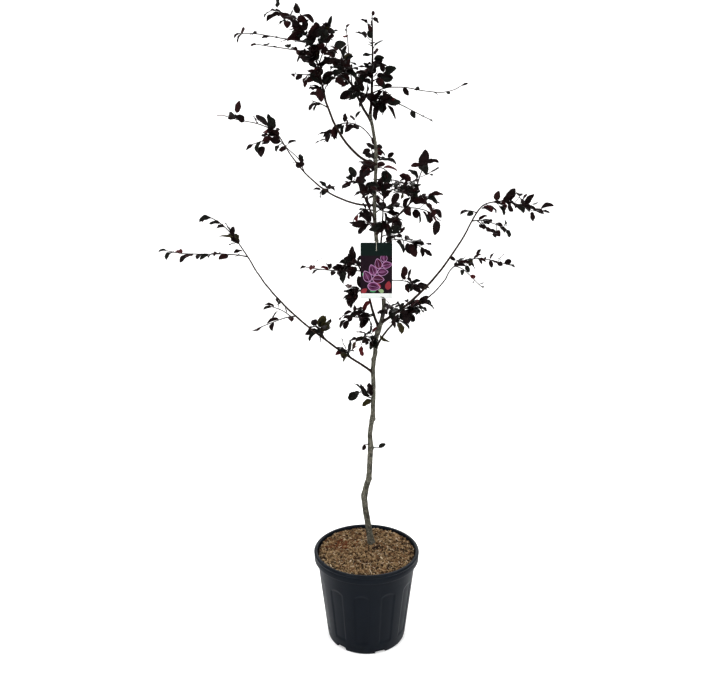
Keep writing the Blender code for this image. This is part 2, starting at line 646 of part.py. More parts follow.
class Room:
    """The room that one spray may fill: near its own shoots, clear of limbs, tag and other sprays."""

    def __init__(self, own, others, limbs):
        self.own, self.others, self.limbs = map(segments_of, (own, others, limbs))
        self.leaves, self.spurs, self.trees = [], [], []

    def holds(self, spots):
        spots = np.array(spots)
        own = nearest(spots, self.own)
        near = (own < SPACE_REACH).all()
        apart = (own + SPACE_MARGIN < nearest(spots, self.others)).all()
        clear = (nearest(spots, self.limbs) > LIMB_CLEARANCE).all()
        return near and apart and clear and not near_tag(spots)

    def crossed(self, leaf):
        """Whether a leaf would cut through one that is there already, or through a shoot."""
        root, ahead, _, length = leaf
        midrib = [root + ahead * (length * share) for share in (0.4, 0.7, 1.0)]
        if (nearest(np.array(midrib), self.own) < SHOOT_CLEARANCE).any():
            return True
        tree = blade_tree(*leaf)
        return any(tree.overlap(other) for other in self.trees)

    def keep(self, leaf):
        self.leaves.append(leaf)
        self.trees.append(blade_tree(*leaf))


def near_tag(spots):
    x, y, z = spots.T
    beside = abs(x - TAG_MIDDLE) < TAG_WIDTH / 2 + TAG_CLEARANCE
    level = (z > TAG_TOP - TAG_HEIGHT - TAG_CLEARANCE) & (z < TAG_TOP + 2 * TAG_CLEARANCE)
    return (beside & level & (abs(y - TAG_FRONT) < TAG_CLEARANCE)).any()


def leaf_on(rng, root, along, rank, size, hang):
    """Draws one leaf: its root, the way it points, the way its face looks, and its length."""
    lean = math.radians(rng.uniform(28, 68))
    ahead = along * math.cos(lean) + rank * math.sin(lean)
    ahead = (ahead - Vector((0, 0, hang + rng.uniform(-0.20, 0.45)))).normalized()
    face = Vector((0, 0, 1)) + Vector([rng.gauss(0, 0.60) for _ in range(3)])
    face = (face - ahead * face.dot(ahead)).normalized()
    return root - ahead * LEAF_SUNK, ahead, face, size * rng.uniform(0.78, 1.25)


def grow_shoot(rng, limb, points, room):
    """Leaves in two ranks along one shoot, some on short spurs, and one at its tip."""
    first, spacing, size = limb.leaves
    side = rng.choice((-1, 1))
    turn = rng.uniform(0, 2 * math.pi)
    place = first
    while place < limb.length - 0.006:
        root, along = point_along(points, place)
        upright = Vector((math.cos(turn), math.sin(turn), 0)) if abs(along.z) > 0.75 else Vector((0, 0, 1))
        rank = along.cross(upright).normalized()
        rank = (rank + along.cross(rank) * rng.gauss(0, 0.45)).normalized()
        if rng.random() < SPUR_SHARE:
            grow_spur(rng, room, root, along, rank * side, size, limb.hang)
        else:
            grow_leaf(rng, room, root, along, rank * side, size, limb.hang)
        side = -side
        turn += GOLDEN_TURN
        place += spacing * rng.uniform(0.75, 1.25)
    root, along = point_along(points, limb.length - 0.004)
    grow_leaf(rng, room, root, along, along.orthogonal().normalized() * 0.3, size * TIP_LEAF, limb.hang)


def grow_leaf(rng, room, root, along, rank, size, hang):
    """Draws a leaf a few times over, until one lies free."""
    for _ in range(LEAF_TRIES):
        leaf = leaf_on(rng, root, along, rank, size, hang)
        if room.holds(leaf_outline(*leaf)) and not room.crossed(leaf):
            room.keep(leaf)
            return


def grow_spur(rng, room, root, along, rank, size, hang):
    """A short twig with two leaves."""
    way = (along * 0.6 + rank + Vector((0, 0, rng.uniform(-0.2, 0.5)))).normalized()
    length = rng.uniform(0.018, 0.034)
    end = root + way * length
    if not room.holds([root + way * length * 0.5, end]):
        return
    tip = root + way * (length - 0.003)
    before = len(room.leaves)
    grow_leaf(rng, room, tip, way, rank.cross(way).normalized(), size * 0.9, hang)
    grow_leaf(rng, room, tip, way, way.cross(rank).normalized(), size, hang)
    if len(room.leaves) > before:
        room.spurs.append(([root, end], list(SPUR_RADIUS)))


def grow_spray(name, paths, spray_paths):
    """All the twigs and leaves of one spray, by its own seed."""
    own = spray_paths[name]
    others = [path for other, group in spray_paths.items() if other != name for path in group]
    room = Room(own, others, list(paths.values()))
    rng = random.Random(name)
    for limb, (points, _) in zip(SPRAYS[name], own):
        grow_shoot(rng, limb, points, room)
    return room.leaves, room.spurs


def add_spray(name, paths, spray_paths, finish):
    leaves, spurs = grow_spray(name, paths, spray_paths)
    shoots = spray_paths[name]
    limb = SPRAYS[name][0]
    stem = add_limb(name, *shoots[0], TWIG_SIDES, finish, foot_of(limb, paths))
    fit_to_parent(stem, limb, paths)
    pieces = [add_limb(f"{name} twig", *path, TWIG_SIDES) for path in shoots[1:] + spurs]
    for leaf in leaves:
        blade = add_mesh(f"{name} leaf", *leaf_solid(*leaf))
        face_outwards(blade.data)
        pieces.append(blade)
    apply_boolean(stem, "UNION", pieces, "MANIFOLD")
    keep_longest(stem.data)
    return stem, len(leaves)


def add_tag():
    """A card with rounded corners and a punched hole, hung upright in front of the trunk."""
    finish = material("tag card", (0.20, 0.05, 0.12), 0.4)
    half = TAG_WIDTH / 2 - TAG_CORNER
    low, high = TAG_TOP - TAG_HEIGHT + TAG_CORNER, TAG_TOP - TAG_CORNER
    outline = []
    for x, z, start in ((half, low, -90), (half, high, 0), (-half, high, 90), (-half, low, 180)):
        outline += arc((TAG_MIDDLE + x, z), TAG_CORNER, start, start + 90, 3)
    count = len(outline)
    back = TAG_FRONT + TAG_THICKNESS
    verts = [(x, TAG_FRONT, z) for x, z in outline] + [(x, back, z) for x, z in outline]
    faces = [(k, (k + 1) % count, (k + 1) % count + count, k + count) for k in range(count)]
    faces += [tuple(range(count)), tuple(reversed(range(count, 2 * count)))]
    tag = add_mesh("hang_tag", verts, faces, finish)
    face_outwards(tag.data)
    hole = Vector((TAG_MIDDLE, 0, TAG_TOP - TAG_HOLE_DROP))
    ends = [hole + Vector((0, TAG_FRONT - 0.01, 0)), hole + Vector((0, back + 0.01, 0))]
    punch = add_limb("tag hole", ends, [TAG_HOLE_RADIUS] * 2, 12)
    apply_boolean(tag, "DIFFERENCE", [punch])
    return tag


def add_tag_tie():
    """A closed loop through the tag's hole, over its top edge and round the trunk."""
    finish = material("tag tie", (0.7, 0.7, 0.66), 0.5)
    hole_z = TAG_TOP - TAG_HOLE_DROP
    height = TAG_TOP + 0.0035
    trunk = trunk_point(height)
    round_trunk = trunk_radius(height) + TIE_RADIUS + 2 * GAP
    middle = TAG_FRONT + TAG_THICKNESS / 2
    front = TAG_FRONT - TIE_RADIUS - GAP
    route = [
        (TAG_MIDDLE, middle, hole_z),
        (TAG_MIDDLE, front - 0.0008, hole_z + 0.004),
        (TAG_MIDDLE, front, TAG_TOP - 0.003),
        (TAG_MIDDLE - 0.0005, middle, TAG_TOP + TIE_RADIUS + GAP + 0.0002),
    ]
    for angle in (190, 150, 115, 80, 45, 10, -25):
        a = math.radians(angle)
        lift = 0.002 * (1 + math.sin(a))
        place = (trunk.x + round_trunk * math.cos(a), trunk.y + round_trunk * math.sin(a), height + lift)
        route.append(place)
    route.append((TAG_MIDDLE + 0.004, TAG_FRONT + 0.008, TAG_TOP - 0.014))
    return add_closed_cord("tag_tie", route, TIE_RADIUS, finish)


def add_closed_cord(name, route, radius, finish):
    """A ring-shaped tube on a smooth closed curve through the route's points."""
    count = len(route)
    route = [Vector(point) for point in route]
    points = []
    for k in range(count):
        a, b, c, d = (route[(k + shift) % count] for shift in (-1, 0, 1, 2))
        for t in (0, 0.5):
            points.append(0.5 * ((2 * b) + (c - a) * t + (2 * a - 5 * b + 4 * c - d) * t * t
                                 + (3 * b - a - 3 * c + d) * t ** 3))
    sides, verts, faces = 6, [], []
    across = Vector((1, 0, 0))
    for k, point in enumerate(points):
        ahead = (points[(k + 1) % len(points)] - points[k - 1]).normalized()
        across = (across - ahead * across.dot(ahead)).normalized()
        other = ahead.cross(across)
        for side in range(sides):
            angle = 2 * math.pi * side / sides
            verts.append(point + (across * math.cos(angle) + other * math.sin(angle)) * radius)
    # The last ring may be turned against the first, so they are joined where they match best.
    last = len(points) - 1
    shift = min(range(sides), key=lambda s: (verts[s] - verts[last * sides]).length)
    for k in range(len(points)):
        for side in range(sides):
            a, b = k * sides + side, k * sides + (side + 1) % sides
            if k < last:
                faces.append((a, b, b + sides, a + sides))
            else:
                faces.append((a, b, (side + 1 + shift) % sides, (side + shift) % sides))
    made = add_mesh(name, verts, faces, finish)
    face_outwards(made.data)
    return made


def build():
    for old in list(bpy.data.objects):
        bpy.data.objects.remove(old)
    bark = material("grey bark", (0.10, 0.10, 0.085), 0.75)
    bough_bark = material("bough bark", (0.055, 0.040, 0.034), 0.65)
    foliage = material("copper leaves", (0.035, 0.012, 0.014), 0.5)

    add_pot()
    add_potting_mix()
    add_tag()
    add_tag_tie()

    paths = {"trunk": trunk_path()}
    for name, bough in BOUGHS.items():
        points, radii = limb_path(start_of(bough, paths), bough, BOUGH_STATION)
        if not continues(bough):
            radii = with_collar(points, radii)
        paths[name] = (points, radii)
    spray_paths = {}
    for name, limbs in SPRAYS.items():
        shoots = []
        for limb in limbs:
            start = start_of(limb, {**paths, **dict(enumerate(shoots))})
            shoots.append(limb_path(start, limb, TWIG_STATION))
        spray_paths[name] = shoots

    add_limb("trunk", *paths["trunk"], TRUNK_SIDES, bark, Vector((0, 0, 1)))
    for name, bough in BOUGHS.items():
        made = add_limb(name, *paths[name], BOUGH_SIDES, bough_bark, foot_of(bough, paths))
        fit_to_parent(made, bough, paths)
    total = 0
    for name in SPRAYS:
        made, count = add_spray(name, paths, spray_paths, foliage)
        total += count
        print(name, count, "leaves,", len(made.data.polygons), "faces")
    print(total, "leaves in all")


build()
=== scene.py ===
# %% [markdown]
# # A young copper beech in its nursery pot
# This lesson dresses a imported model. The frame holds plain solids of every piece at its real size,
# and each cell below gives one piece or one finish the look of the real thing. Lengths are metres,
# +Z is up, and -Y is the side that the tree is looked at from.

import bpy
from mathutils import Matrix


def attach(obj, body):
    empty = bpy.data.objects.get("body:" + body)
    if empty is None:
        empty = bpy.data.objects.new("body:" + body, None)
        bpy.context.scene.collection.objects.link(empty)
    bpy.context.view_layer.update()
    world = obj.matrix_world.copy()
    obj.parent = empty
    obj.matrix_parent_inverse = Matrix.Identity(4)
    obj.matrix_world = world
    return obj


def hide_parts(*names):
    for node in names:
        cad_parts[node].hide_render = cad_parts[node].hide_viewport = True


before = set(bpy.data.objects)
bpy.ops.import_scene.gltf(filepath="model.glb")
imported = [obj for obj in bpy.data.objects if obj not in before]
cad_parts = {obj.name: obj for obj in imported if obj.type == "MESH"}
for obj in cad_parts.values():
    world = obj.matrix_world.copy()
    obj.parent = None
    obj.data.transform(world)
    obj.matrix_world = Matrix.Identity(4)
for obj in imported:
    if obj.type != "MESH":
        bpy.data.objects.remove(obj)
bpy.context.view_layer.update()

# %% Imports and small helpers
import math
import random
from dataclasses import dataclass

import bpy
import numpy as np
from mathutils import Vector, noise
from mathutils.bvhtree import BVHTree

NODES = sorted(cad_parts)
BODY = "root"
print(len(NODES), "solids ride on the body", BODY)

# %% [markdown]
# A shader's look is mostly arithmetic on patterns. Written as nodes, `1 - mask * 0.5` is three boxes
# and two wires. The small class below wraps a socket, so that Python's own operators add those Math
# nodes. Colours and vectors don't go through Math nodes, which would turn them grey, so they have a
# method of their own, and every other node comes from `Graph.add`.

# %% Sockets that do arithmetic
class Value:
    """A number that varies over a surface: arithmetic on it adds Math nodes to its graph."""

    def __init__(self, graph, socket):
        self.graph, self.socket = graph, socket

    def math(self, operation, first, second):
        return self.graph.add("ShaderNodeMath", {"operation": operation}, {0: first, 1: second})["Value"]

    def __add__(self, other):
        return self.math("ADD", self, other)

    def __sub__(self, other):
        return self.math("SUBTRACT", self, other)

    def __rsub__(self, other):
        return self.math("SUBTRACT", other, self)

    def __mul__(self, other):
        return self.math("MULTIPLY", self, other)

    def above(self, low, high):
        """0 below low, 1 above high, and a smooth step between them."""
        settings = {"interpolation_type": "SMOOTHSTEP"}
        sockets = {"Value": self, "From Min": low, "From Max": high}
        return self.graph.add("ShaderNodeMapRange", settings, sockets)["Result"]

    __radd__ = __add__
    __rmul__ = __mul__


class Graph:
    """A new material's node graph. Constants go straight to the Principled shader's own sockets."""

    def __init__(self, name, **constants):
        self.material = bpy.data.materials.new(name)
        self.material.use_nodes = True
        self.tree = self.material.node_tree
        self.shader = self.tree.nodes["Principled BSDF"]
        for socket, value in constants.items():
            self.shader.inputs[socket.replace("_", " ")].default_value = value

    def add(self, kind, settings=None, inputs=None):
        """Adds a node: its type, its settings first, then its sockets' values or links."""
        node = self.tree.nodes.new(kind)
        for name, value in (settings or {}).items():
            setattr(node, name, value)
        for key, value in (inputs or {}).items():
            named = [socket for socket in node.inputs if key in (socket.identifier, socket.name)]
            socket = node.inputs[key] if isinstance(key, int) else named[0]
            if isinstance(value, Value):
                self.tree.links.new(value.socket, socket)
            else:
                socket.default_value = value
        return {socket.identifier: Value(self, socket) for socket in node.outputs}

    def feed(self, **sockets):
        """Links values to the Principled shader's sockets."""
        for name, value in sockets.items():
            self.tree.links.new(value.socket, self.shader.inputs[name.replace("_", " ")])
        return self.material

    def stretched(self, scale):
        """Object coordinates, stretched by three factors."""
        spot = self.add("ShaderNodeTexCoord")["Object"]
        settings = {"operation": "MULTIPLY"}
        return self.add("ShaderNodeVectorMath", settings, {0: spot, 1: scale})["Vector"]

    def cloud(self, scale, detail=3.0, roughness=0.5):
        """Soft noise from 0 to 1, one scale for each axis."""
        sockets = {"Vector": self.stretched(scale), "Scale": 1.0, "Detail": detail, "Roughness": roughness}
        return self.add("ShaderNodeTexNoise", None, sockets)["Fac"]

    def cells(self, scale):
        """Distance to the nearest of many scattered points."""
        sockets = {"Vector": self.stretched(scale), "Scale": 1.0}
        return self.add("ShaderNodeTexVoronoi", None, sockets)["Distance"]

    def colours(self, factor, first, second):
        """One colour where the factor is 0, going over to the other where it is 1."""
        first, second = (c if isinstance(c, Value) else (*c, 1) for c in (first, second))
        sockets = {"Factor_Float": factor, "A_Color": first, "B_Color": second}
        return self.add("ShaderNodeMix", {"data_type": "RGBA"}, sockets)["Result_Color"]

    def bump(self, height, depth, strength=1.0):
        """A bumped normal, with the depth in metres that a height of 1 stands for."""
        sockets = {"Height": height, "Distance": depth, "Strength": strength}
        return self.add("ShaderNodeBump", None, sockets)["Normal"]


# %% [markdown]
# Leaves, twigs and bark chips come in hundreds. One object for each would be slow and heavy, so each
# kind is collected as arrays of points and faces and turned into a single mesh at the end. `Batch`
# does the collecting. It shifts each new lot of faces past the points that are already there.

# %% Collect many small shapes in one mesh
class Batch:
    """Points and faces of many shapes, which become one mesh."""

    def __init__(self):
        self.points, self.faces, self.count = [], [], 0

    def add(self, points, faces):
        points = np.asarray(points, float).reshape(-1, 3)
        self.points.append(points)
        self.faces += [tuple(corner + self.count for corner in face) for face in faces]
        self.count += len(points)

    def piece(self, name, finish, slot, *replaced, sharp=180):
        """Makes the object. Edges sharper than the angle in degrees stay sharp."""
        mesh = bpy.data.meshes.new(name)
        mesh.from_pydata(np.concatenate(self.points).tolist(), [], self.faces)
        return finished(name, mesh, finish, slot, *replaced, sharp=sharp)


def finished(name, mesh, finish, slot, *replaced, sharp=180):
    """Links a mesh as a piece that rides on the tree and stands for some of its solids."""
    mesh.materials.append(finish)
    mesh.shade_smooth()
    if sharp < 180:
        mesh.set_sharp_from_angle(angle=math.radians(sharp))
    made = bpy.data.objects.new(name.replace(" ", "_"), mesh)
    bpy.context.scene.collection.objects.link(made)
    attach(made, BODY)
    if replaced:
        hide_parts(*replaced)
    print(f"{name}: {len(mesh.polygons)} faces")
    return made


def grid_faces(rows, columns, closed=False):
    """Quads over a grid of points, row by row; a closed grid's last column joins its first."""
    across = columns if closed else columns - 1
    faces = []
    for row in range(rows - 1):
        for column in range(across):
            a, b = row * columns + column, row * columns + (column + 1) % columns
            faces.append((a, b, b + columns, a + columns))
    return faces


# %% [markdown]
# The camera stands where the photograph was taken from: about 2.6 m in front of the tree, a little
# above its middle and tilted down by four degrees. Its picture is shifted down, so that the crown's
# top and the pot's foot both fit although the camera hardly tilts.

# %% Camera
IMAGE_WIDTH, IMAGE_HEIGHT = 720, 687
CAMERA_PLACE = (-0.0251, -2.582, 1.676)
CAMERA_TILT_DOWN = math.radians(4.133)
CAMERA_LENS_MM, SENSOR_MM = 34.47, 36.0
CAMERA_SHIFT = -0.13  # of the picture's width, downwards

camera = bpy.data.objects.new("camera", bpy.data.cameras.new("camera"))
bpy.context.scene.collection.objects.link(camera)
camera.location = CAMERA_PLACE
camera.rotation_euler = (math.pi / 2 - CAMERA_TILT_DOWN, 0, 0)
camera.data.sensor_width = SENSOR_MM
camera.data.lens = CAMERA_LENS_MM
camera.data.shift_y = CAMERA_SHIFT
bpy.context.scene.camera = camera
print(f"camera for a picture of {IMAGE_WIDTH} by {IMAGE_HEIGHT} pixels")

# %% [markdown]
# A nursery photographs its trees before plain white paper. The floor here is a wide pale dish: flat
# where the pot stands, and curving up far away on all sides, so no horizon shows from any angle.
# Soft light comes from a bright sky over the dish and from three large lamps, the strongest of them
# high at the front left.

# %% Floor and light
FLOOR_FLAT, FLOOR_CURVE, FLOOR_TOP = 5.0, 3.0, 7.0
FLOOR_TURNS, CURVE_STEPS = 96, 16
FLOOR_COLOUR, FLOOR_MOTTLE = (0.86, 0.86, 0.86), 1.02
FLOOR_GLOW = 0.22  # keeps the paper white away from the lamps
SKY_STRENGTH = 1.0
CONTRAST = 0.79  # display gamma: under 1 deepens the dark tones
LAMPS = {
    "key lamp": ((-2.6, -3.2, 4.2), 2.6, 130),
    "fill lamp": ((3.0, -2.6, 2.6), 2.4, 55),
    "back lamp": ((0.8, 3.4, 3.6), 2.2, 60),
}  # place, side and power in watts
LAMP_AIM = Vector((0, 0, 1.1))


def add_floor():
    """A turned dish: a flat middle, a round rise and an upright edge. Stage, not part of the tree."""
    profile = [(0.001, 0.0), (1.0, 0.0), (FLOOR_FLAT, 0.0)]
    for step in range(1, CURVE_STEPS + 1):
        turn = math.pi / 2 * step / CURVE_STEPS
        profile.append((FLOOR_FLAT + FLOOR_CURVE * math.sin(turn), FLOOR_CURVE * (1 - math.cos(turn))))
    profile.append((FLOOR_FLAT + FLOOR_CURVE, FLOOR_TOP))
    points = []
    for radius, height in profile:
        for turn in range(FLOOR_TURNS):
            angle = 2 * math.pi * turn / FLOOR_TURNS
            points.append((radius * math.cos(angle), radius * math.sin(angle), height))
    mesh = bpy.data.meshes.new("floor")
    mesh.from_pydata(points, [], grid_faces(len(profile), FLOOR_TURNS, closed=True))
    mesh.shade_smooth()
    graph = Graph("pale paper", Roughness=0.9, Emission_Color=(1, 1, 1, 1), Emission_Strength=FLOOR_GLOW)
    brighter = tuple(c * FLOOR_MOTTLE for c in FLOOR_COLOUR)
    tone = graph.colours(graph.cloud((0.8, 0.8, 0.8)), FLOOR_COLOUR, brighter)
    mesh.materials.append(graph.feed(Base_Color=tone))
    floor = bpy.data.objects.new("floor", mesh)
    bpy.context.scene.collection.objects.link(floor)


def add_lights():
    """An even white sky and the three lamps."""
    world = bpy.data.worlds.new("studio")
    world.use_nodes = True
    world.node_tree.nodes["Background"].inputs["Color"].default_value = (1, 1, 1, 1)
    world.node_tree.nodes["Background"].inputs["Strength"].default_value = SKY_STRENGTH
    bpy.context.scene.world = world
    for name, (place, side, power) in LAMPS.items():
        lamp = bpy.data.lights.new(name, "AREA")
        lamp.size, lamp.energy = side, power
        made = bpy.data.objects.new(name, lamp)
        made.location = place
        made.rotation_euler = (LAMP_AIM - Vector(place)).to_track_quat("-Z", "Y").to_euler()
        bpy.context.scene.collection.objects.link(made)


add_floor()
add_lights()
bpy.context.scene.view_settings.view_transform = "Standard"
bpy.context.scene.view_settings.gamma = CONTRAST
print("floor and", len(LAMPS), "lamps")

# %% [markdown]
# ## The tree's plan
# The trunk and every limb are repeated here from the model's source, so that the looks grow on the
# same bones. A limb is a few numbers: what it grows on and where, its compass angle, its climb at
# foot, middle and tip, its length and its girth, and how its leaves are spaced. The leaves then
# follow by a seeded rule, the same one as in the source, so each lands on the leaf of the solids.

# %% Sizes of the trunk, limbs and leaves
# The trunk: its sideways place at a few heights, its taper, its root flare and its knots
GAP = 0.0003  # clearance between the solids
MIX_TOP = 0.324
TRUNK_FOOT = MIX_TOP + GAP
TRUNK_TOP = 2.0
TRUNK_BENDS = [
    (TRUNK_FOOT, 0.019), (0.50, -0.008), (0.545, -0.002), (0.585, 0.009), (0.65, 0.013), (0.71, 0.016),
    (0.77, 0.014), (0.85, 0.025), (0.98, 0.027), (1.02, 0.025), (1.08, 0.032), (1.15, 0.039), (1.26, 0.066),
    (1.50, 0.040), (1.64, 0.030), (1.86, 0.035), (TRUNK_TOP, 0.013),
]
TRUNK_BACK = 0.055  # distance behind the pot's axis at its foot
TRUNK_LEAN = -0.010  # how far it leans forward by its top
TRUNK_WAVE = 0.003
TRUNK_GIRTH = [
    (TRUNK_FOOT, 0.0120), (0.55, 0.0113), (0.68, 0.0105), (0.80, 0.0089), (1.12, 0.0082), (1.30, 0.0078),
    (1.60, 0.0070), (TRUNK_TOP, 0.0058),
]  # height, radius
ROOT_FLARE = 0.0038
ROOT_FLARE_REACH = 0.022
KNOTS = [(0.52, 0.0012), (0.71, 0.0012), (0.827, 0.0018), (1.175, 0.0032)]  # height, extra radius
KNOT_REACH = 0.018
TRUNK_STATION = 0.045

# Boughs, twigs and leaves
BOUGH_STATION = 0.05
COLLAR = 0.35  # how much a bough swells where it leaves its parent
COLLAR_REACH = 0.02
TWIG_STATION = 0.045
LEAF_WIDEST = ((0.30, 0.29), (0.66, 0.25))  # share of the length, half width there as a share of it
LEAF_SUNK = 0.0004  # how far past its twig's axis a leaf is rooted
SPUR_SHARE = 0.10  # share of the leaf places that carry a short spur
SPUR_RADIUS = (0.0013, 0.0011)
GOLDEN_TURN = 2.4  # radians from one leaf to the next round an upright shoot
LEAF_TRIES = 4
TIP_LEAF = 0.7  # size of a shoot's last leaf
LIMB_CLEARANCE = 0.004
SHOOT_CLEARANCE = 0.001
TAG_CLEARANCE = 0.012
SPACE_MARGIN = 0.003
SPACE_REACH = 0.16  # a leaf or twig stays this near to its spray's own shoots
print("trunk from", TRUNK_FOOT, "to", TRUNK_TOP)

# %% The boughs
@dataclass
class Limb:
    """One limb: what it grows on, where, and its shape. The climb is given at start, middle and end."""

    on: object  # name of a limb, or the number of an earlier shoot of the same spray
    at: float  # height in metres on the trunk, share of the length on any other
    azimuth: float
    climb: tuple
    length: float
    radius: tuple  # at its foot and its tip
    leaves: tuple = None  # where the first leaf is, the spacing and the leaf length, in metres
    hang: float = 0.0  # how strongly its leaves hang, beyond the usual


BOUGHS = {
    "low_left_bough": Limb("trunk", 1.010, 200, (36, 41, 62), 0.668, (0.0040, 0.0019)),
    "right_second_bough": Limb("trunk", 1.084, 25, (75, 30, 50), 0.426, (0.0034, 0.0019)),
    "fork_left_bough": Limb("trunk", 1.186, 165, (59, 77, 64), 0.226, (0.0046, 0.0028)),
    "right_low_bough": Limb("trunk", 1.205, -20, (31, 50, 64), 0.556, (0.0047, 0.0021)),
    "back_bough": Limb("trunk", 1.420, 85, (45, 40, 60), 0.340, (0.0040, 0.0022)),
    "mid_right_bough": Limb("trunk", 1.545, -50, (38, 29, 40), 0.183, (0.0040, 0.0026)),
    "front_bough": Limb("trunk", 1.600, 252, (30, 35, 40), 0.200, (0.0034, 0.0022)),
    "mid_left_bough": Limb("trunk", 1.656, 160, (-2, 35, 57), 0.475, (0.0034, 0.0019)),
    "upper_left_bough": Limb("trunk", 1.810, 215, (10, 47, 69), 0.330, (0.0043, 0.0032)),
    "second_leader": Limb("trunk", 1.975, 150, (47, 62, 62), 0.150, (0.0044, 0.0038)),
    "leader": Limb("trunk", TRUNK_TOP, 30, (79, 86, 90), 0.100, (0.0050, 0.0040)),
}
print(len(BOUGHS), "boughs")

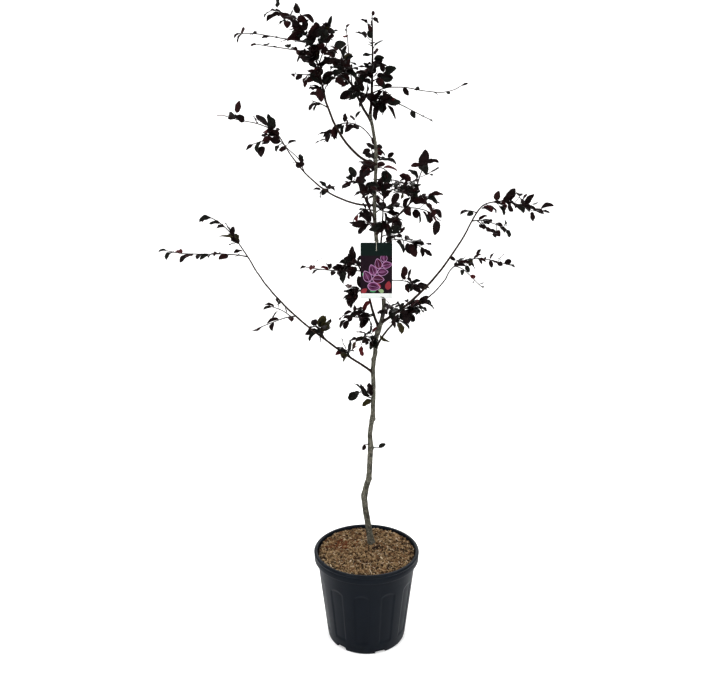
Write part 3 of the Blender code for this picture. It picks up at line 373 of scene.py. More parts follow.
# %% The shoots of each spray
SPRAYS = {
    "leaves_low_left_tip": [
        Limb("low_left_bough", 1, 200, (58, 50, 22), 0.215, (0.0018, 0.0012), (0.030, 0.040, 0.052)),
        Limb(0, 0.04, 185, (12, 0, 14), 0.285, (0.0016, 0.0011), (0.030, 0.034, 0.045)),
    ],
    "leaves_low_left_side": [
        Limb("low_left_bough", 0.58, 225, (4, -10, -12), 0.190, (0.0016, 0.0011), (0.030, 0.042, 0.045)),
        Limb(0, 0.12, 190, (45, 30, 10), 0.080, (0.0014, 0.0011), (0.020, 0.025, 0.050)),
    ],
    "leaves_low_left_inner": [
        Limb("low_left_bough", 0.36, 160, (65, 55, 45), 0.062, (0.0016, 0.0012), (0.016, 0.014, 0.058)),
        Limb(0, 0.35, 110, (20, 10, 0), 0.065, (0.0014, 0.0011), (0.020, 0.024, 0.055)),
    ],
    "leaves_low_left_foot": [
        Limb("low_left_bough", 0.17, 235, (60, 40, 20), 0.055, (0.0016, 0.0012), (0.016, 0.013, 0.056)),
    ],
    "leaves_mid_left_tip": [
        Limb("mid_left_bough", 1, 170, (68, 15, 24), 0.280, (0.0018, 0.0012), (0.050, 0.045, 0.066)),
        Limb(0, 0.10, 195, (-5, -15, -25), 0.110, (0.0015, 0.0011), (0.020, 0.024, 0.055)),
    ],
    "leaves_mid_left_side": [
        Limb("mid_left_bough", 0.70, 150, (80, 39, 46), 0.170, (0.0016, 0.0011), (0.045, 0.040, 0.045)),
    ],
    "leaves_mid_left_inner": [
        Limb("mid_left_bough", 0.42, 100, (25, 30, 10), 0.050, (0.0015, 0.0011), (0.020, 0.018, 0.055)),
    ],
    "leaves_upper_left": [
        Limb("upper_left_bough", 1, 220, (73, 63, 4), 0.363, (0.0031, 0.0014), (0.030, 0.022, 0.062)),
        Limb(0, 0.47, 170, (9, 10, 11), 0.215, (0.0016, 0.0011), (0.025, 0.036, 0.042)),
        Limb(0, 0.59, 195, (-6, 7, -8), 0.240, (0.0016, 0.0011), (0.025, 0.036, 0.040)),
        Limb(0, 0.25, 210, (0, -4, -4), 0.105, (0.0014, 0.0011), (0.020, 0.028, 0.038)),
        Limb(0, 0.33, 300, (50, 45, 30), 0.120, (0.0016, 0.0012), (0.020, 0.024, 0.055)),
        Limb(0, 0.55, 60, (50, 40, 30), 0.110, (0.0016, 0.0012), (0.020, 0.024, 0.055)),
        Limb(0, 0.14, 20, (45, 35, 30), 0.120, (0.0016, 0.0012), (0.025, 0.026, 0.052)),
        Limb(0, 0.74, 120, (60, 50, 40), 0.045, (0.0015, 0.0012), (0.014, 0.014, 0.078)),
        Limb(0, 0.40, 250, (20, 10, -10), 0.080, (0.0015, 0.0012), (0.018, 0.020, 0.050)),
    ],
    "leaves_upper_left_foot": [
        Limb("upper_left_bough", 0.92, 205, (25, 20, 10), 0.060, (0.0016, 0.0012), (0.025, 0.024, 0.052)),
    ],
    "leaves_arching_twig": [
        Limb("trunk", 1.872, 200, (73, 11, -84), 0.265, (0.0018, 0.0011), (0.105, 0.022, 0.054)),
    ],
    "leaves_second_leader": [
        Limb("second_leader", 1, 160, (54, 50, 75), 0.165, (0.0037, 0.0014), (0.020, 0.022, 0.060)),
        Limb(0, 0.06, 105, (60, 70, 75), 0.260, (0.0018, 0.0011), (0.110, 0.034, 0.036)),
        Limb(0, 0.25, 250, (40, 30, 20), 0.100, (0.0016, 0.0012), (0.020, 0.024, 0.055)),
        Limb(0, 0.50, 80, (45, 40, 30), 0.090, (0.0016, 0.0012), (0.020, 0.024, 0.052)),
    ],
    "leaves_leader": [
        Limb("leader", 1, 30, (88, 90, 91), 0.265, (0.0039, 0.0013), (0.018, 0.026, 0.046)),
        Limb(0, 0.08, 335, (20, 30, 40), 0.070, (0.0016, 0.0012), (0.018, 0.020, 0.055)),
        Limb(0, 0.14, 235, (15, 10, 0), 0.070, (0.0016, 0.0012), (0.018, 0.018, 0.055)),
        Limb(0, 0.22, 110, (30, 25, 20), 0.080, (0.0016, 0.0012), (0.020, 0.022, 0.050)),
    ],
    "leaves_leader_left": [
        Limb("leader", 0.55, 212, (35, 20, 0), 0.085, (0.0016, 0.0012), (0.018, 0.015, 0.056)),
        Limb(0, 0.25, 150, (30, 20, 0), 0.070, (0.0015, 0.0012), (0.018, 0.016, 0.056)),
    ],
    "leaves_leader_right": [
        Limb("leader", 0.75, 25, (35, -5, 38), 0.420, (0.0018, 0.0011), (0.060, 0.062, 0.036)),
    ],
    "leaves_leader_right_low": [
        Limb("leader", 0.40, -25, (21, -25, -22), 0.250, (0.0018, 0.0011), (0.070, 0.050, 0.034)),
        Limb(0, 0.10, 285, (10, -10, -30), 0.060, (0.0015, 0.0012), (0.016, 0.015, 0.064)),
    ],
    "leaves_right_low_tip": [
        Limb("right_low_bough", 1, -10, (70, -8, -7), 0.262, (0.0020, 0.0012), (0.030, 0.025, 0.052)),
        Limb(0, 0.05, 205, (20, 10, 0), 0.045, (0.0015, 0.0012), (0.018, 0.016, 0.042)),
    ],
    "leaves_right_low_side": [
        Limb("right_low_bough", 0.96, 12, (15, -18, -22), 0.140, (0.0015, 0.0011), (0.030, 0.026, 0.045)),
        Limb(0, 0.15, 330, (-30, -40, -30), 0.055, (0.0014, 0.0011), (0.016, 0.016, 0.050)),
    ],
    "leaves_right_low_inner": [
        Limb("right_low_bough", 0.13, 325, (20, 5, -20), 0.065, (0.0016, 0.0012), (0.020, 0.018, 0.058)),
        Limb(0, 0.30, 15, (40, 30, 20), 0.050, (0.0015, 0.0012), (0.018, 0.018, 0.056)),
    ],
    "leaves_right_mid": [
        Limb("trunk", 1.362, 12, (12, -8, -35), 0.155, (0.0016, 0.0011), (0.075, 0.022, 0.055)),
    ],
    "leaves_right_second": [
        Limb("right_second_bough", 1, 15, (74, 2, -14), 0.320, (0.0018, 0.0012), (0.060, 0.028, 0.045)),
        Limb(0, 0.22, 40, (-10, -36, -30), 0.200, (0.0015, 0.0011), (0.050, 0.044, 0.030)),
    ],
    "leaves_right_second_inner": [
        Limb("right_second_bough", 0.55, 330, (50, 30, 10), 0.045, (0.0015, 0.0012), (0.018, 0.015, 0.052)),
        Limb(0, 0.40, 300, (40, 30, 20), 0.040, (0.0014, 0.0012), (0.016, 0.016, 0.048)),
    ],
    "leaves_right_second_foot": [
        Limb("right_second_bough", 0.33, 60, (20, 0, -20), 0.060, (0.0016, 0.0012), (0.022, 0.022, 0.058)),
    ],
    "leaves_fork_left": [
        Limb("fork_left_bough", 1, 165, (64, 60, 60), 0.065, (0.0027, 0.0014), (0.018, 0.018, 0.054)),
        Limb(0, 0.06, 220, (4, 6, 13), 0.265, (0.0016, 0.0011), (0.075, 0.048, 0.045)),
        Limb(0, 0.40, 150, (10, 0, -20), 0.080, (0.0015, 0.0012), (0.020, 0.022, 0.056)),
    ],
    "leaves_fork_left_side": [
        Limb("fork_left_bough", 0.66, 212, (20, -5, -25), 0.065, (0.0015, 0.0012), (0.018, 0.013, 0.056)),
        Limb(0, 0.30, 160, (-10, -20, -30), 0.055, (0.0014, 0.0012), (0.016, 0.014, 0.054)),
    ],
    "leaves_front_left_low": [
        Limb("fork_left_bough", 0.23, 235, (-7, 10, 11), 0.200, (0.0016, 0.0011), (0.080, 0.030, 0.050)),
        Limb(0, 0.18, 170, (50, 40, 30), 0.045, (0.0014, 0.0012), (0.018, 0.016, 0.054)),
    ],
    "leaves_left_low": [
        Limb("trunk", 1.145, 240, (-10, 12, -4), 0.150, (0.0016, 0.0011), (0.050, 0.028, 0.048)),
        Limb(0, 0.25, 290, (30, 10, 0), 0.050, (0.0014, 0.0012), (0.016, 0.016, 0.050)),
    ],
    "leaves_mid_right": [
        Limb("mid_right_bough", 1, -50, (20, 68, 44), 0.200, (0.0025, 0.0012), (0.025, 0.026, 0.060)),
        Limb(0, 0.05, -35, (1, -15, -44), 0.150, (0.0016, 0.0011), (0.040, 0.026, 0.050), 0.9),
        Limb(0, 0.18, 20, (30, 15, 5), 0.100, (0.0016, 0.0012), (0.020, 0.024, 0.058)),
        Limb(0, 0.30, 240, (30, 15, 0), 0.090, (0.0016, 0.0012), (0.020, 0.024, 0.056)),
    ],
    "leaves_mid_right_inner": [
        Limb("mid_right_bough", 0.45, 255, (20, 0, -20), 0.075, (0.0016, 0.0012), (0.022, 0.022, 0.060)),
    ],
    "leaves_mid_right_low": [
        Limb("trunk", 1.495, -8, (47, -4, -33), 0.190, (0.0017, 0.0011), (0.040, 0.034, 0.060)),
    ],
    "leaves_mid_right_high": [
        Limb("trunk", 1.753, 10, (13, -14, -20), 0.150, (0.0016, 0.0011), (0.070, 0.024, 0.058)),
    ],
    "leaves_left_small": [
        Limb("trunk", 1.636, 190, (20, -15, -70), 0.085, (0.0016, 0.0011), (0.050, 0.020, 0.040)),
    ],
    "leaves_trunk_left": [
        Limb("trunk", 1.690, 215, (40, 20, 0), 0.050, (0.0016, 0.0012), (0.018, 0.015, 0.048)),
    ],
    "leaves_trunk_right": [
        Limb("trunk", 1.625, 20, (40, 20, 0), 0.090, (0.0016, 0.0012), (0.026, 0.020, 0.056)),
        Limb(0, 0.30, 340, (-10, -25, -40), 0.075, (0.0015, 0.0012), (0.018, 0.018, 0.054)),
    ],
    "leaves_trunk_high_left": [
        Limb("trunk", 1.785, 200, (35, 30, 20), 0.045, (0.0015, 0.0012), (0.030, 0.016, 0.066)),
    ],
    "leaves_trunk_high_right": [
        Limb("trunk", 1.800, -15, (10, -25, -45), 0.055, (0.0015, 0.0012), (0.022, 0.018, 0.058)),
    ],
    "leaves_above_tag": [
        Limb("trunk", 1.560, 200, (50, 40, 30), 0.060, (0.0015, 0.0012), (0.020, 0.012, 0.062)),
    ],
    "leaves_lowest": [
        Limb("trunk", 0.905, 205, (6, 43, 60), 0.070, (0.0017, 0.0012), (0.046, 0.009, 0.060)),
    ],
    "leaves_knot": [
        Limb("trunk", 0.706, -15, (25, 10, 0), 0.034, (0.0015, 0.0012), (0.030, 0.020, 0.050)),
    ],
    "leaves_knot_left": [
        Limb("trunk", 0.722, 215, (20, 10, 0), 0.028, (0.0015, 0.0012), (0.024, 0.020, 0.034)),
    ],
    "leaves_back": [
        Limb("back_bough", 1, 85, (55, 40, 20), 0.200, (0.0021, 0.0012), (0.025, 0.028, 0.056)),
        Limb(0, 0.10, 130, (30, 20, 0), 0.130, (0.0016, 0.0011), (0.025, 0.028, 0.054)),
        Limb(0, 0.25, 35, (30, 20, 0), 0.130, (0.0016, 0.0011), (0.025, 0.028, 0.054)),
    ],
    "leaves_back_inner": [
        Limb("back_bough", 0.50, 45, (20, 0, -15), 0.090, (0.0016, 0.0012), (0.025, 0.026, 0.056)),
    ],
    "leaves_back_high": [
        Limb("trunk", 1.770, 95, (45, 35, 15), 0.210, (0.0018, 0.0011), (0.050, 0.028, 0.054)),
        Limb(0, 0.35, 50, (30, 15, 0), 0.090, (0.0015, 0.0012), (0.022, 0.026, 0.050)),
    ],
    "leaves_front": [
        Limb("front_bough", 1, 250, (40, 10, -20), 0.120, (0.0021, 0.0012), (0.022, 0.026, 0.055)),
        Limb(0, 0.10, 295, (20, 0, -25), 0.085, (0.0015, 0.0012), (0.022, 0.026, 0.052)),
    ],
    "leaves_front_right_low": [
        Limb("trunk", 1.250, 300, (30, 5, -20), 0.150, (0.0017, 0.0011), (0.050, 0.026, 0.058)),
    ],
}
print(sum(map(len, SPRAYS.values())), "leafy shoots in", len(SPRAYS), "sprays")

# %% [markdown]
# A limb that is drawn as a straight stick never looks grown. Each path below turns a little at every
# step, from the climb at its foot through the one at its middle to the one at its tip. The trunk
# wanders sideways through a few measured places, eased so that it has no corners.

# %% Paths of trunk and limbs
def smooth_curve(x, knots):
    """Height of the smooth curve through the knots at x, each bend eased towards its neighbours."""
    for (x1, y1), (x2, y2) in zip(knots, knots[1:]):
        if x <= x2:
            break
    index = knots.index((x1, y1))
    slopes = []
    for k in (index, index + 1):
        before, after = knots[max(k - 1, 0)], knots[min(k + 1, len(knots) - 1)]
        slopes.append((after[1] - before[1]) / (after[0] - before[0]))
    t = (x - x1) / (x2 - x1)
    width = x2 - x1
    ease = t * t * (3 - 2 * t)
    bend_in, bend_out = t * (1 - t) ** 2, t * t * (t - 1)
    return y1 + (y2 - y1) * ease + width * (slopes[0] * bend_in + slopes[1] * bend_out)


def trunk_point(height):
    share = (height - TRUNK_FOOT) / (TRUNK_TOP - TRUNK_FOOT)
    back = TRUNK_BACK + TRUNK_LEAN * share + TRUNK_WAVE * math.sin(9 * share)
    return Vector((smooth_curve(height, TRUNK_BENDS), back, height))


def trunk_radius(height):
    radius = smooth_curve(height, TRUNK_GIRTH)
    radius += ROOT_FLARE * math.exp(-(height - TRUNK_FOOT) / ROOT_FLARE_REACH)
    for knot, extra in KNOTS:
        radius += extra * math.exp(-(((height - knot) / KNOT_REACH) ** 2))
    return radius


def trunk_path():
    count = round((TRUNK_TOP - TRUNK_FOOT) / TRUNK_STATION)
    near_foot = [TRUNK_FOOT + step for step in (0.0, 0.008, 0.02)]
    rest = [TRUNK_FOOT + (TRUNK_TOP - TRUNK_FOOT) * k / count for k in range(1, count + 1)]
    heights = near_foot + rest
    return [trunk_point(h) for h in heights], [trunk_radius(h) for h in heights]


def limb_path(start, limb, station):
    """Points along a limb, which turns evenly from one climb to the next, and its radius at each."""
    count = max(2, round(limb.length / station))
    first, middle, last = limb.climb
    step = limb.length / count
    points, radii = [Vector(start)], [limb.radius[0]]
    fine = 8
    for k in range(count * fine):
        s = (k + 0.5) / (count * fine)
        climb = first * (1 - s) * (1 - 2 * s) + middle * 4 * s * (1 - s) + last * s * (2 * s - 1)
        climb, azimuth = math.radians(climb), math.radians(limb.azimuth)
        level = math.cos(climb)
        ahead = Vector((level * math.cos(azimuth), level * math.sin(azimuth), math.sin(climb)))
        if k % fine == 0:
            points.append(points[-1].copy())
            radii.append(0)
        points[-1] += ahead * (step / fine)
        radii[-1] = limb.radius[0] + (limb.radius[1] - limb.radius[0]) * (k + 1) / (count * fine)
    return points, radii


def point_along(points, distance):
    """The point and the direction at a distance along a path."""
    for a, b in zip(points, points[1:]):
        span = (b - a).length
        if distance <= span or b is points[-1]:
            break
        distance -= span
    ahead = (b - a).normalized()
    return a + ahead * distance, ahead


def start_of(limb, paths):
    """Where a limb starts: on its parent's axis, or a hair past the parent's tip."""
    if limb.on == "trunk" and limb.at < TRUNK_TOP:
        return trunk_point(limb.at)
    points, _ = paths[limb.on]
    length = sum((b - a).length for a, b in zip(points, points[1:]))
    share = 1 if limb.on == "trunk" else limb.at
    point, ahead = point_along(points, length * share)
    return point + ahead * GAP if share == 1 else point


def with_collar(points, radii):
    """Radii that swell towards the foot, as a bough does where it joins its parent."""
    start = points[0]
    return [r * (1 + COLLAR * math.exp(-(p - start).length / COLLAR_REACH)) for p, r in zip(points, radii)]


def continues(limb):
    return limb.at == 1 or limb.at == TRUNK_TOP


paths = {"trunk": trunk_path()}
for name, bough in BOUGHS.items():
    points, radii = limb_path(start_of(bough, paths), bough, BOUGH_STATION)
    paths[name] = (points, radii if continues(bough) else with_collar(points, radii))
spray_paths = {}
for name, limbs in SPRAYS.items():
    shoots = []
    for limb in limbs:
        start = start_of(limb, {**paths, **dict(enumerate(shoots))})
        shoots.append(limb_path(start, limb, TWIG_STATION))
    spray_paths[name] = shoots
print(len(paths), "paths of wood")

# %% [markdown]
# Leaves on a real twig find their own light and don't grow through each other. The rule draws a
# leaf a few times over until it lies free, and asks the questions below of each try: is it near its
# own shoots, nearer to them than to other sprays, and clear of limbs, tag and the other leaves?

# %% Room for a leaf
TAG_WIDTH, TAG_HEIGHT, TAG_THICKNESS = 0.120, 0.213, 0.0012
TAG_TOP, TAG_MIDDLE, TAG_FRONT = 1.5155, 0.037, 0.020


def leaf_outline(root, ahead, face, length):
    """Points over a leaf's blade, to test where it lies."""
    across = ahead.cross(face)
    spots = [root + ahead * (share * length) for share in (0.25, 0.5, 0.75, 1.0)]
    for share, half in LEAF_WIDEST:
        middle = root + ahead * (share * length)
        spots += [middle + across * (half * length), middle - across * (half * length)]
    return spots


def segments_of(paths):
    """Start points, end points and radii of all the straight pieces of some paths."""
    starts = [a for points, _ in paths for a in points[:-1]]
    ends = [b for points, _ in paths for b in points[1:]]
    radii = [max(pair) for _, radii in paths for pair in zip(radii, radii[1:])]
    return np.array(starts), np.array(ends), np.array(radii)


def nearest(spots, segments):
    """For each spot, the distance to the nearest of the segments' surfaces."""
    starts, ends, radii = segments
    run = ends - starts
    offset = spots[:, None, :] - starts[None]
    share = np.clip((offset * run).sum(2) / (run * run).sum(1), 0, 1)
    gap = np.linalg.norm(offset - share[..., None] * run, axis=2) - radii
    return gap.min(axis=1)


def blade_tree(root, ahead, face, length):
    """A search tree of a leaf's blade, from just off its twig to its tip."""
    across = ahead.cross(face)
    spots = [root + ahead * 0.003, root + ahead * length]
    for share, half in LEAF_WIDEST:
        middle = root + ahead * (share * length)
        spots += [middle + across * (half * length), middle - across * (half * length)]
    return BVHTree.FromPolygons(spots, [(0, 2, 4, 1, 5, 3)])


class Room:
    """The room that one spray may fill: near its own shoots, clear of limbs, tag and other sprays."""

    def __init__(self, own, others, limbs):
        self.own, self.others, self.limbs = map(segments_of, (own, others, limbs))
        self.leaves, self.spurs, self.trees = [], [], []

    def holds(self, spots):
        spots = np.array(spots)
        own = nearest(spots, self.own)
        near = (own < SPACE_REACH).all()
        apart = (own + SPACE_MARGIN < nearest(spots, self.others)).all()
        clear = (nearest(spots, self.limbs) > LIMB_CLEARANCE).all()
        return near and apart and clear and not near_tag(spots)

    def crossed(self, leaf):
        """Whether a leaf would cut through one that is there already, or through a shoot."""
        root, ahead, _, length = leaf
        midrib = [root + ahead * (length * share) for share in (0.4, 0.7, 1.0)]
        if (nearest(np.array(midrib), self.own) < SHOOT_CLEARANCE).any():
            return True
        tree = blade_tree(*leaf)
        return any(tree.overlap(other) for other in self.trees)

    def keep(self, leaf):
        self.leaves.append(leaf)
        self.trees.append(blade_tree(*leaf))


def near_tag(spots):
    x, y, z = spots.T
    beside = abs(x - TAG_MIDDLE) < TAG_WIDTH / 2 + TAG_CLEARANCE
    level = (z > TAG_TOP - TAG_HEIGHT - TAG_CLEARANCE) & (z < TAG_TOP + 2 * TAG_CLEARANCE)
    return (beside & level & (abs(y - TAG_FRONT) < TAG_CLEARANCE)).any()


# %% [markdown]
# A beech sets its leaves alternately, left and right, along a shoot. Each leans out from the twig and
# turns its face more or less to the sky. Some places carry a short spur with two leaves instead of
# one. The chance in it comes from a random generator seeded with the spray's own name, so the tree
# is the same tree each time.

# %% Leaves and spurs by rule
def leaf_on(rng, root, along, rank, size, hang):
    """Draws one leaf: its root, the way it points, the way its face looks, and its length."""
    lean = math.radians(rng.uniform(28, 68))
    ahead = along * math.cos(lean) + rank * math.sin(lean)
    ahead = (ahead - Vector((0, 0, hang + rng.uniform(-0.20, 0.45)))).normalized()
    face = Vector((0, 0, 1)) + Vector([rng.gauss(0, 0.60) for _ in range(3)])
    face = (face - ahead * face.dot(ahead)).normalized()
    return root - ahead * LEAF_SUNK, ahead, face, size * rng.uniform(0.78, 1.25)


def grow_leaf(rng, room, root, along, rank, size, hang):
    """Draws a leaf a few times over, until one lies free."""
    for _ in range(LEAF_TRIES):
        leaf = leaf_on(rng, root, along, rank, size, hang)
        if room.holds(leaf_outline(*leaf)) and not room.crossed(leaf):
            room.keep(leaf)
            return


def grow_spur(rng, room, root, along, rank, size, hang):
    """A short twig with two leaves."""
    way = (along * 0.6 + rank + Vector((0, 0, rng.uniform(-0.2, 0.5)))).normalized()
    length = rng.uniform(0.018, 0.034)
    end = root + way * length
    if not room.holds([root + way * length * 0.5, end]):
        return
    tip = root + way * (length - 0.003)
    before = len(room.leaves)
    grow_leaf(rng, room, tip, way, rank.cross(way).normalized(), size * 0.9, hang)
    grow_leaf(rng, room, tip, way, way.cross(rank).normalized(), size, hang)
    if len(room.leaves) > before:
        room.spurs.append(([root, end], list(SPUR_RADIUS)))


def grow_shoot(rng, limb, points, room):
    """Leaves in two ranks along one shoot, some on short spurs, and one at its tip."""
    first, spacing, size = limb.leaves
    side = rng.choice((-1, 1))
    turn = rng.uniform(0, 2 * math.pi)
    place = first
    while place < limb.length - 0.006:
        root, along = point_along(points, place)
        upright = Vector((math.cos(turn), math.sin(turn), 0)) if abs(along.z) > 0.75 else Vector((0, 0, 1))
        rank = along.cross(upright).normalized()
        rank = (rank + along.cross(rank) * rng.gauss(0, 0.45)).normalized()
        if rng.random() < SPUR_SHARE:
            grow_spur(rng, room, root, along, rank * side, size, limb.hang)
        else:
            grow_leaf(rng, room, root, along, rank * side, size, limb.hang)
        side = -side
        turn += GOLDEN_TURN
        place += spacing * rng.uniform(0.75, 1.25)
    root, along = point_along(points, limb.length - 0.004)
    grow_leaf(rng, room, root, along, along.orthogonal().normalized() * 0.3, size * TIP_LEAF, limb.hang)


def room_of(name):
    own = spray_paths[name]
    others = [path for other, group in spray_paths.items() if other != name for path in group]
    return Room(own, others, list(paths.values()))


def grow_spray(name):
    """All the twigs and leaves of one spray, by its own seed."""
    room = room_of(name)
    rng = random.Random(name)
    for limb, (points, _) in zip(SPRAYS[name], spray_paths[name]):
        grow_shoot(rng, limb, points, room)
    return room


rooms = {name: grow_spray(name) for name in SPRAYS}
print(sum(len(room.leaves) for room in rooms.values()), "leaves, as on the solids")

# %% [markdown]
# A real twig is never as bare as the plain rule leaves it: between the main leaves stand short side
# twigs with up to two small leaves each. They are grown here with a second seed, after the first
# leaves have their places, so nothing that the solids show moves. Long, open shoots stay as they are.

# %% Finer side twigs
FINE_SPACING = 0.046
FINE_SIZE = 0.88  # of the shoot's leaf size
FINE_END = 0.006  # the shoot's last stretch, which stays bare
OPEN_SPACING = 0.034  # a shoot whose leaves stand this far apart gets no finer twigs


def square_to(along, turn):
    """A unit vector square to a shoot, turned round it by an angle."""
    level = along.orthogonal().normalized()
    return level * math.cos(turn) + along.cross(level) * math.sin(turn)


def grow_finer(name, room):
    """Side twigs along the closely leaved shoots of one spray."""
    rng = random.Random("finer " + name)
    for limb, (points, _) in zip(SPRAYS[name], spray_paths[name]):
        place = limb.leaves[0] + FINE_SPACING * rng.random()
        while place < limb.length - FINE_END and limb.leaves[1] < OPEN_SPACING:
            root, along = point_along(points, place)
            rank = square_to(along, rng.uniform(0, 2 * math.pi))
            grow_spur(rng, room, root, along, rank, limb.leaves[2] * FINE_SIZE, limb.hang)
            place += FINE_SPACING * rng.uniform(0.6, 1.4)


for name, room in rooms.items():
    grow_finer(name, room)
print(sum(len(room.leaves) for room in rooms.values()), "leaves with the finer twigs")

# %% [markdown]
# Close to the limbs a beech is fuller than its outline tells. On the stretches of shoot below stand
# more leaves. They follow the same rule and keep clear of limbs and tag, but they may touch the
# leaves beside them, as real ones do in a dense tuft.

# %% Fuller places
THICKETS = {
    "leaves_upper_left": [(0, 0.02, 0.50, 17), (0, 0.50, 0.72, 9), (4, 0.1, 0.9, 4), (5, 0.1, 0.9, 4),
                          (6, 0.1, 0.9, 4)],
    "leaves_upper_left_foot": [(0, 0.3, 0.9, 2)],
    "leaves_second_leader": [(0, 0.0, 0.6, 8), (2, 0.1, 0.9, 3), (3, 0.1, 0.9, 2)],
    "leaves_leader_left": [(0, 0.1, 0.9, 6), (1, 0.1, 0.9, 4)],
    "leaves_leader": [(0, 0.0, 0.30, 3), (1, 0.2, 0.9, 3), (2, 0.2, 0.9, 3), (3, 0.2, 0.9, 2)],
    "leaves_leader_right_low": [(1, 0.1, 0.9, 11), (0, 0.06, 0.20, 4)],
    "leaves_leader_right": [(0, 0.04, 0.16, 3)],
    "leaves_arching_twig": [(0, 0.45, 0.95, 3)],
    "leaves_trunk_high_left": [(0, 0.3, 0.9, 2)],
    "leaves_trunk_high_right": [(0, 0.3, 0.9, 2)],
    "leaves_mid_right": [(0, 0.0, 0.5, 4), (1, 0.1, 0.7, 4), (2, 0.1, 0.9, 3), (3, 0.1, 0.9, 3)],
    "leaves_mid_right_inner": [(0, 0.2, 0.9, 4)],
    "leaves_mid_right_low": [(0, 0.1, 0.8, 5)],
    "leaves_mid_right_high": [(0, 0.3, 0.9, 2)],
    "leaves_trunk_right": [(0, 0.2, 0.9, 4), (1, 0.2, 0.9, 4)],
    "leaves_trunk_left": [(0, 0.3, 0.9, 2)],
    "leaves_above_tag": [(0, 0.2, 0.9, 5)],
    "leaves_left_small": [(0, 0.3, 0.8, 2)],
    "leaves_fork_left": [(0, 0.1, 0.9, 8), (2, 0.1, 0.9, 6), (1, 0.15, 0.6, 3)],
    "leaves_fork_left_side": [(0, 0.2, 0.9, 8), (1, 0.2, 0.9, 8)],
    "leaves_front_left_low": [(0, 0.0, 0.40, 8), (1, 0.2, 0.9, 4)],
    "leaves_front_right_low": [(0, 0.05, 0.5, 8)],
    "leaves_right_low_inner": [(0, 0.2, 0.9, 4), (1, 0.2, 0.9, 5)],
    "leaves_right_second_inner": [(0, 0.2, 0.9, 4), (1, 0.2, 0.9, 4)],
    "leaves_right_second_foot": [(0, 0.3, 0.9, 2)],
    "leaves_right_mid": [(0, 0.5, 0.95, 5)],
    "leaves_left_low": [(0, 0.2, 0.7, 3), (1, 0.2, 0.9, 4)],
    "leaves_low_left_inner": [(0, 0.2, 0.9, 3), (1, 0.2, 0.9, 3)],
    "leaves_low_left_foot": [(0, 0.1, 0.9, 8, -0.2)],
    "leaves_low_left_tip": [(0, 0.12, 0.45, 5), (0, 0.6, 0.9, 1), (1, 0.3, 0.8, 2)],
    "leaves_mid_left_tip": [(0, 0.0, 0.3, 7)],
    "leaves_mid_left_side": [(0, 0.02, 0.25, 5)],
    "leaves_mid_left_inner": [(0, 0.3, 0.9, 2)],
    "leaves_right_low_tip": [(0, 0.25, 0.75, 9, -0.6)],
    "leaves_right_low_side": [(0, 0.1, 0.5, 3)],
    "leaves_right_second": [(0, 0.15, 0.55, 5)],
    "leaves_lowest": [(0, 0.05, 0.5, 3)],
    "leaves_front": [(0, 0.1, 0.9, 2)],
    "leaves_back": [(0, 0.05, 0.9, 4)],
    "leaves_back_high": [(0, 0.2, 0.9, 3)],
    "leaves_back_inner": [(0, 0.2, 0.9, 3)],
}  # for each spray: a shoot, the stretch of it as two shares, how many leaves, and how they hang
MIDRIB_CLEARANCE = 0.003


def thicket_leaf(rng, room, limb, points, low, high, hang):
    """Draws one leaf round a shoot, until it is clear of limbs and tag."""
    for _ in range(LEAF_TRIES):
        root, along = point_along(points, limb.length * rng.uniform(low, high))
        rank = square_to(along, rng.uniform(0, 2 * math.pi))
        leaf = leaf_on(rng, root, along, rank, limb.leaves[2], hang)
        spots = np.array(leaf_outline(*leaf))
        if not near_tag(spots) and (nearest(spots[1:4], room.limbs) > MIDRIB_CLEARANCE).all():
            room.leaves.append(leaf)
            return


for name, stretches in THICKETS.items():
    rng = random.Random("thicket " + name)
    for shoot, low, high, count, *hang in stretches:
        limb, (points, _) = SPRAYS[name][shoot], spray_paths[name][shoot]
        for _ in range(count):
            thicket_leaf(rng, rooms[name], limb, points, low, high, hang[0] if hang else limb.hang)
print(sum(len(room.leaves) for room in rooms.values()), "leaves with the fuller places")

# %% [markdown]
# ## Wood
# Three things make wood look grown: it is smooth along its length, it wanders a little, and it swells
# where one limb leaves another. The wander comes from one field of noise for the whole tree, so that
# whatever meets at a joint is moved by the same amount and the joint stays closed.

# %% Smooth paths with a little wander
SWAY, SWAY_SIZE = 0.0014, 0.045
SWAY_FIELDS = [Vector((31.4, 0, 0)), Vector((0, 57.7, 0)), Vector((0, 0, 83.1))]


def sway(point):
    """How far the wood strays from its plan at a place: plain noise, which is the same in each run."""
    return Vector([noise.noise(point / SWAY_SIZE + field) for field in SWAY_FIELDS]) * SWAY


def spline(a, b, c, d, t):
    """The point between b and c on a smooth curve through all four."""
    return 0.5 * (2 * b + (c - a) * t + (2 * a - 5 * b + 4 * c - d) * t * t
                  + (3 * b - a - 3 * c + d) * t ** 3)


def smooth_path(points, radii, station):
    """A finer path through the same points."""
    fine, girths = [], []
    last = len(points) - 1
    for k in range(last):
        corners = [points[max(k - 1, 0)], points[k], points[k + 1], points[min(k + 2, last)]]
        steps = max(1, round((points[k + 1] - points[k]).length / station))
        for j in range(steps):
            fine.append(spline(*corners, j / steps))
            girths.append(radii[k] + (radii[k + 1] - radii[k]) * j / steps)
    fine.append(points[-1])
    girths.append(radii[-1])
    return [point + sway(point) for point in fine], girths


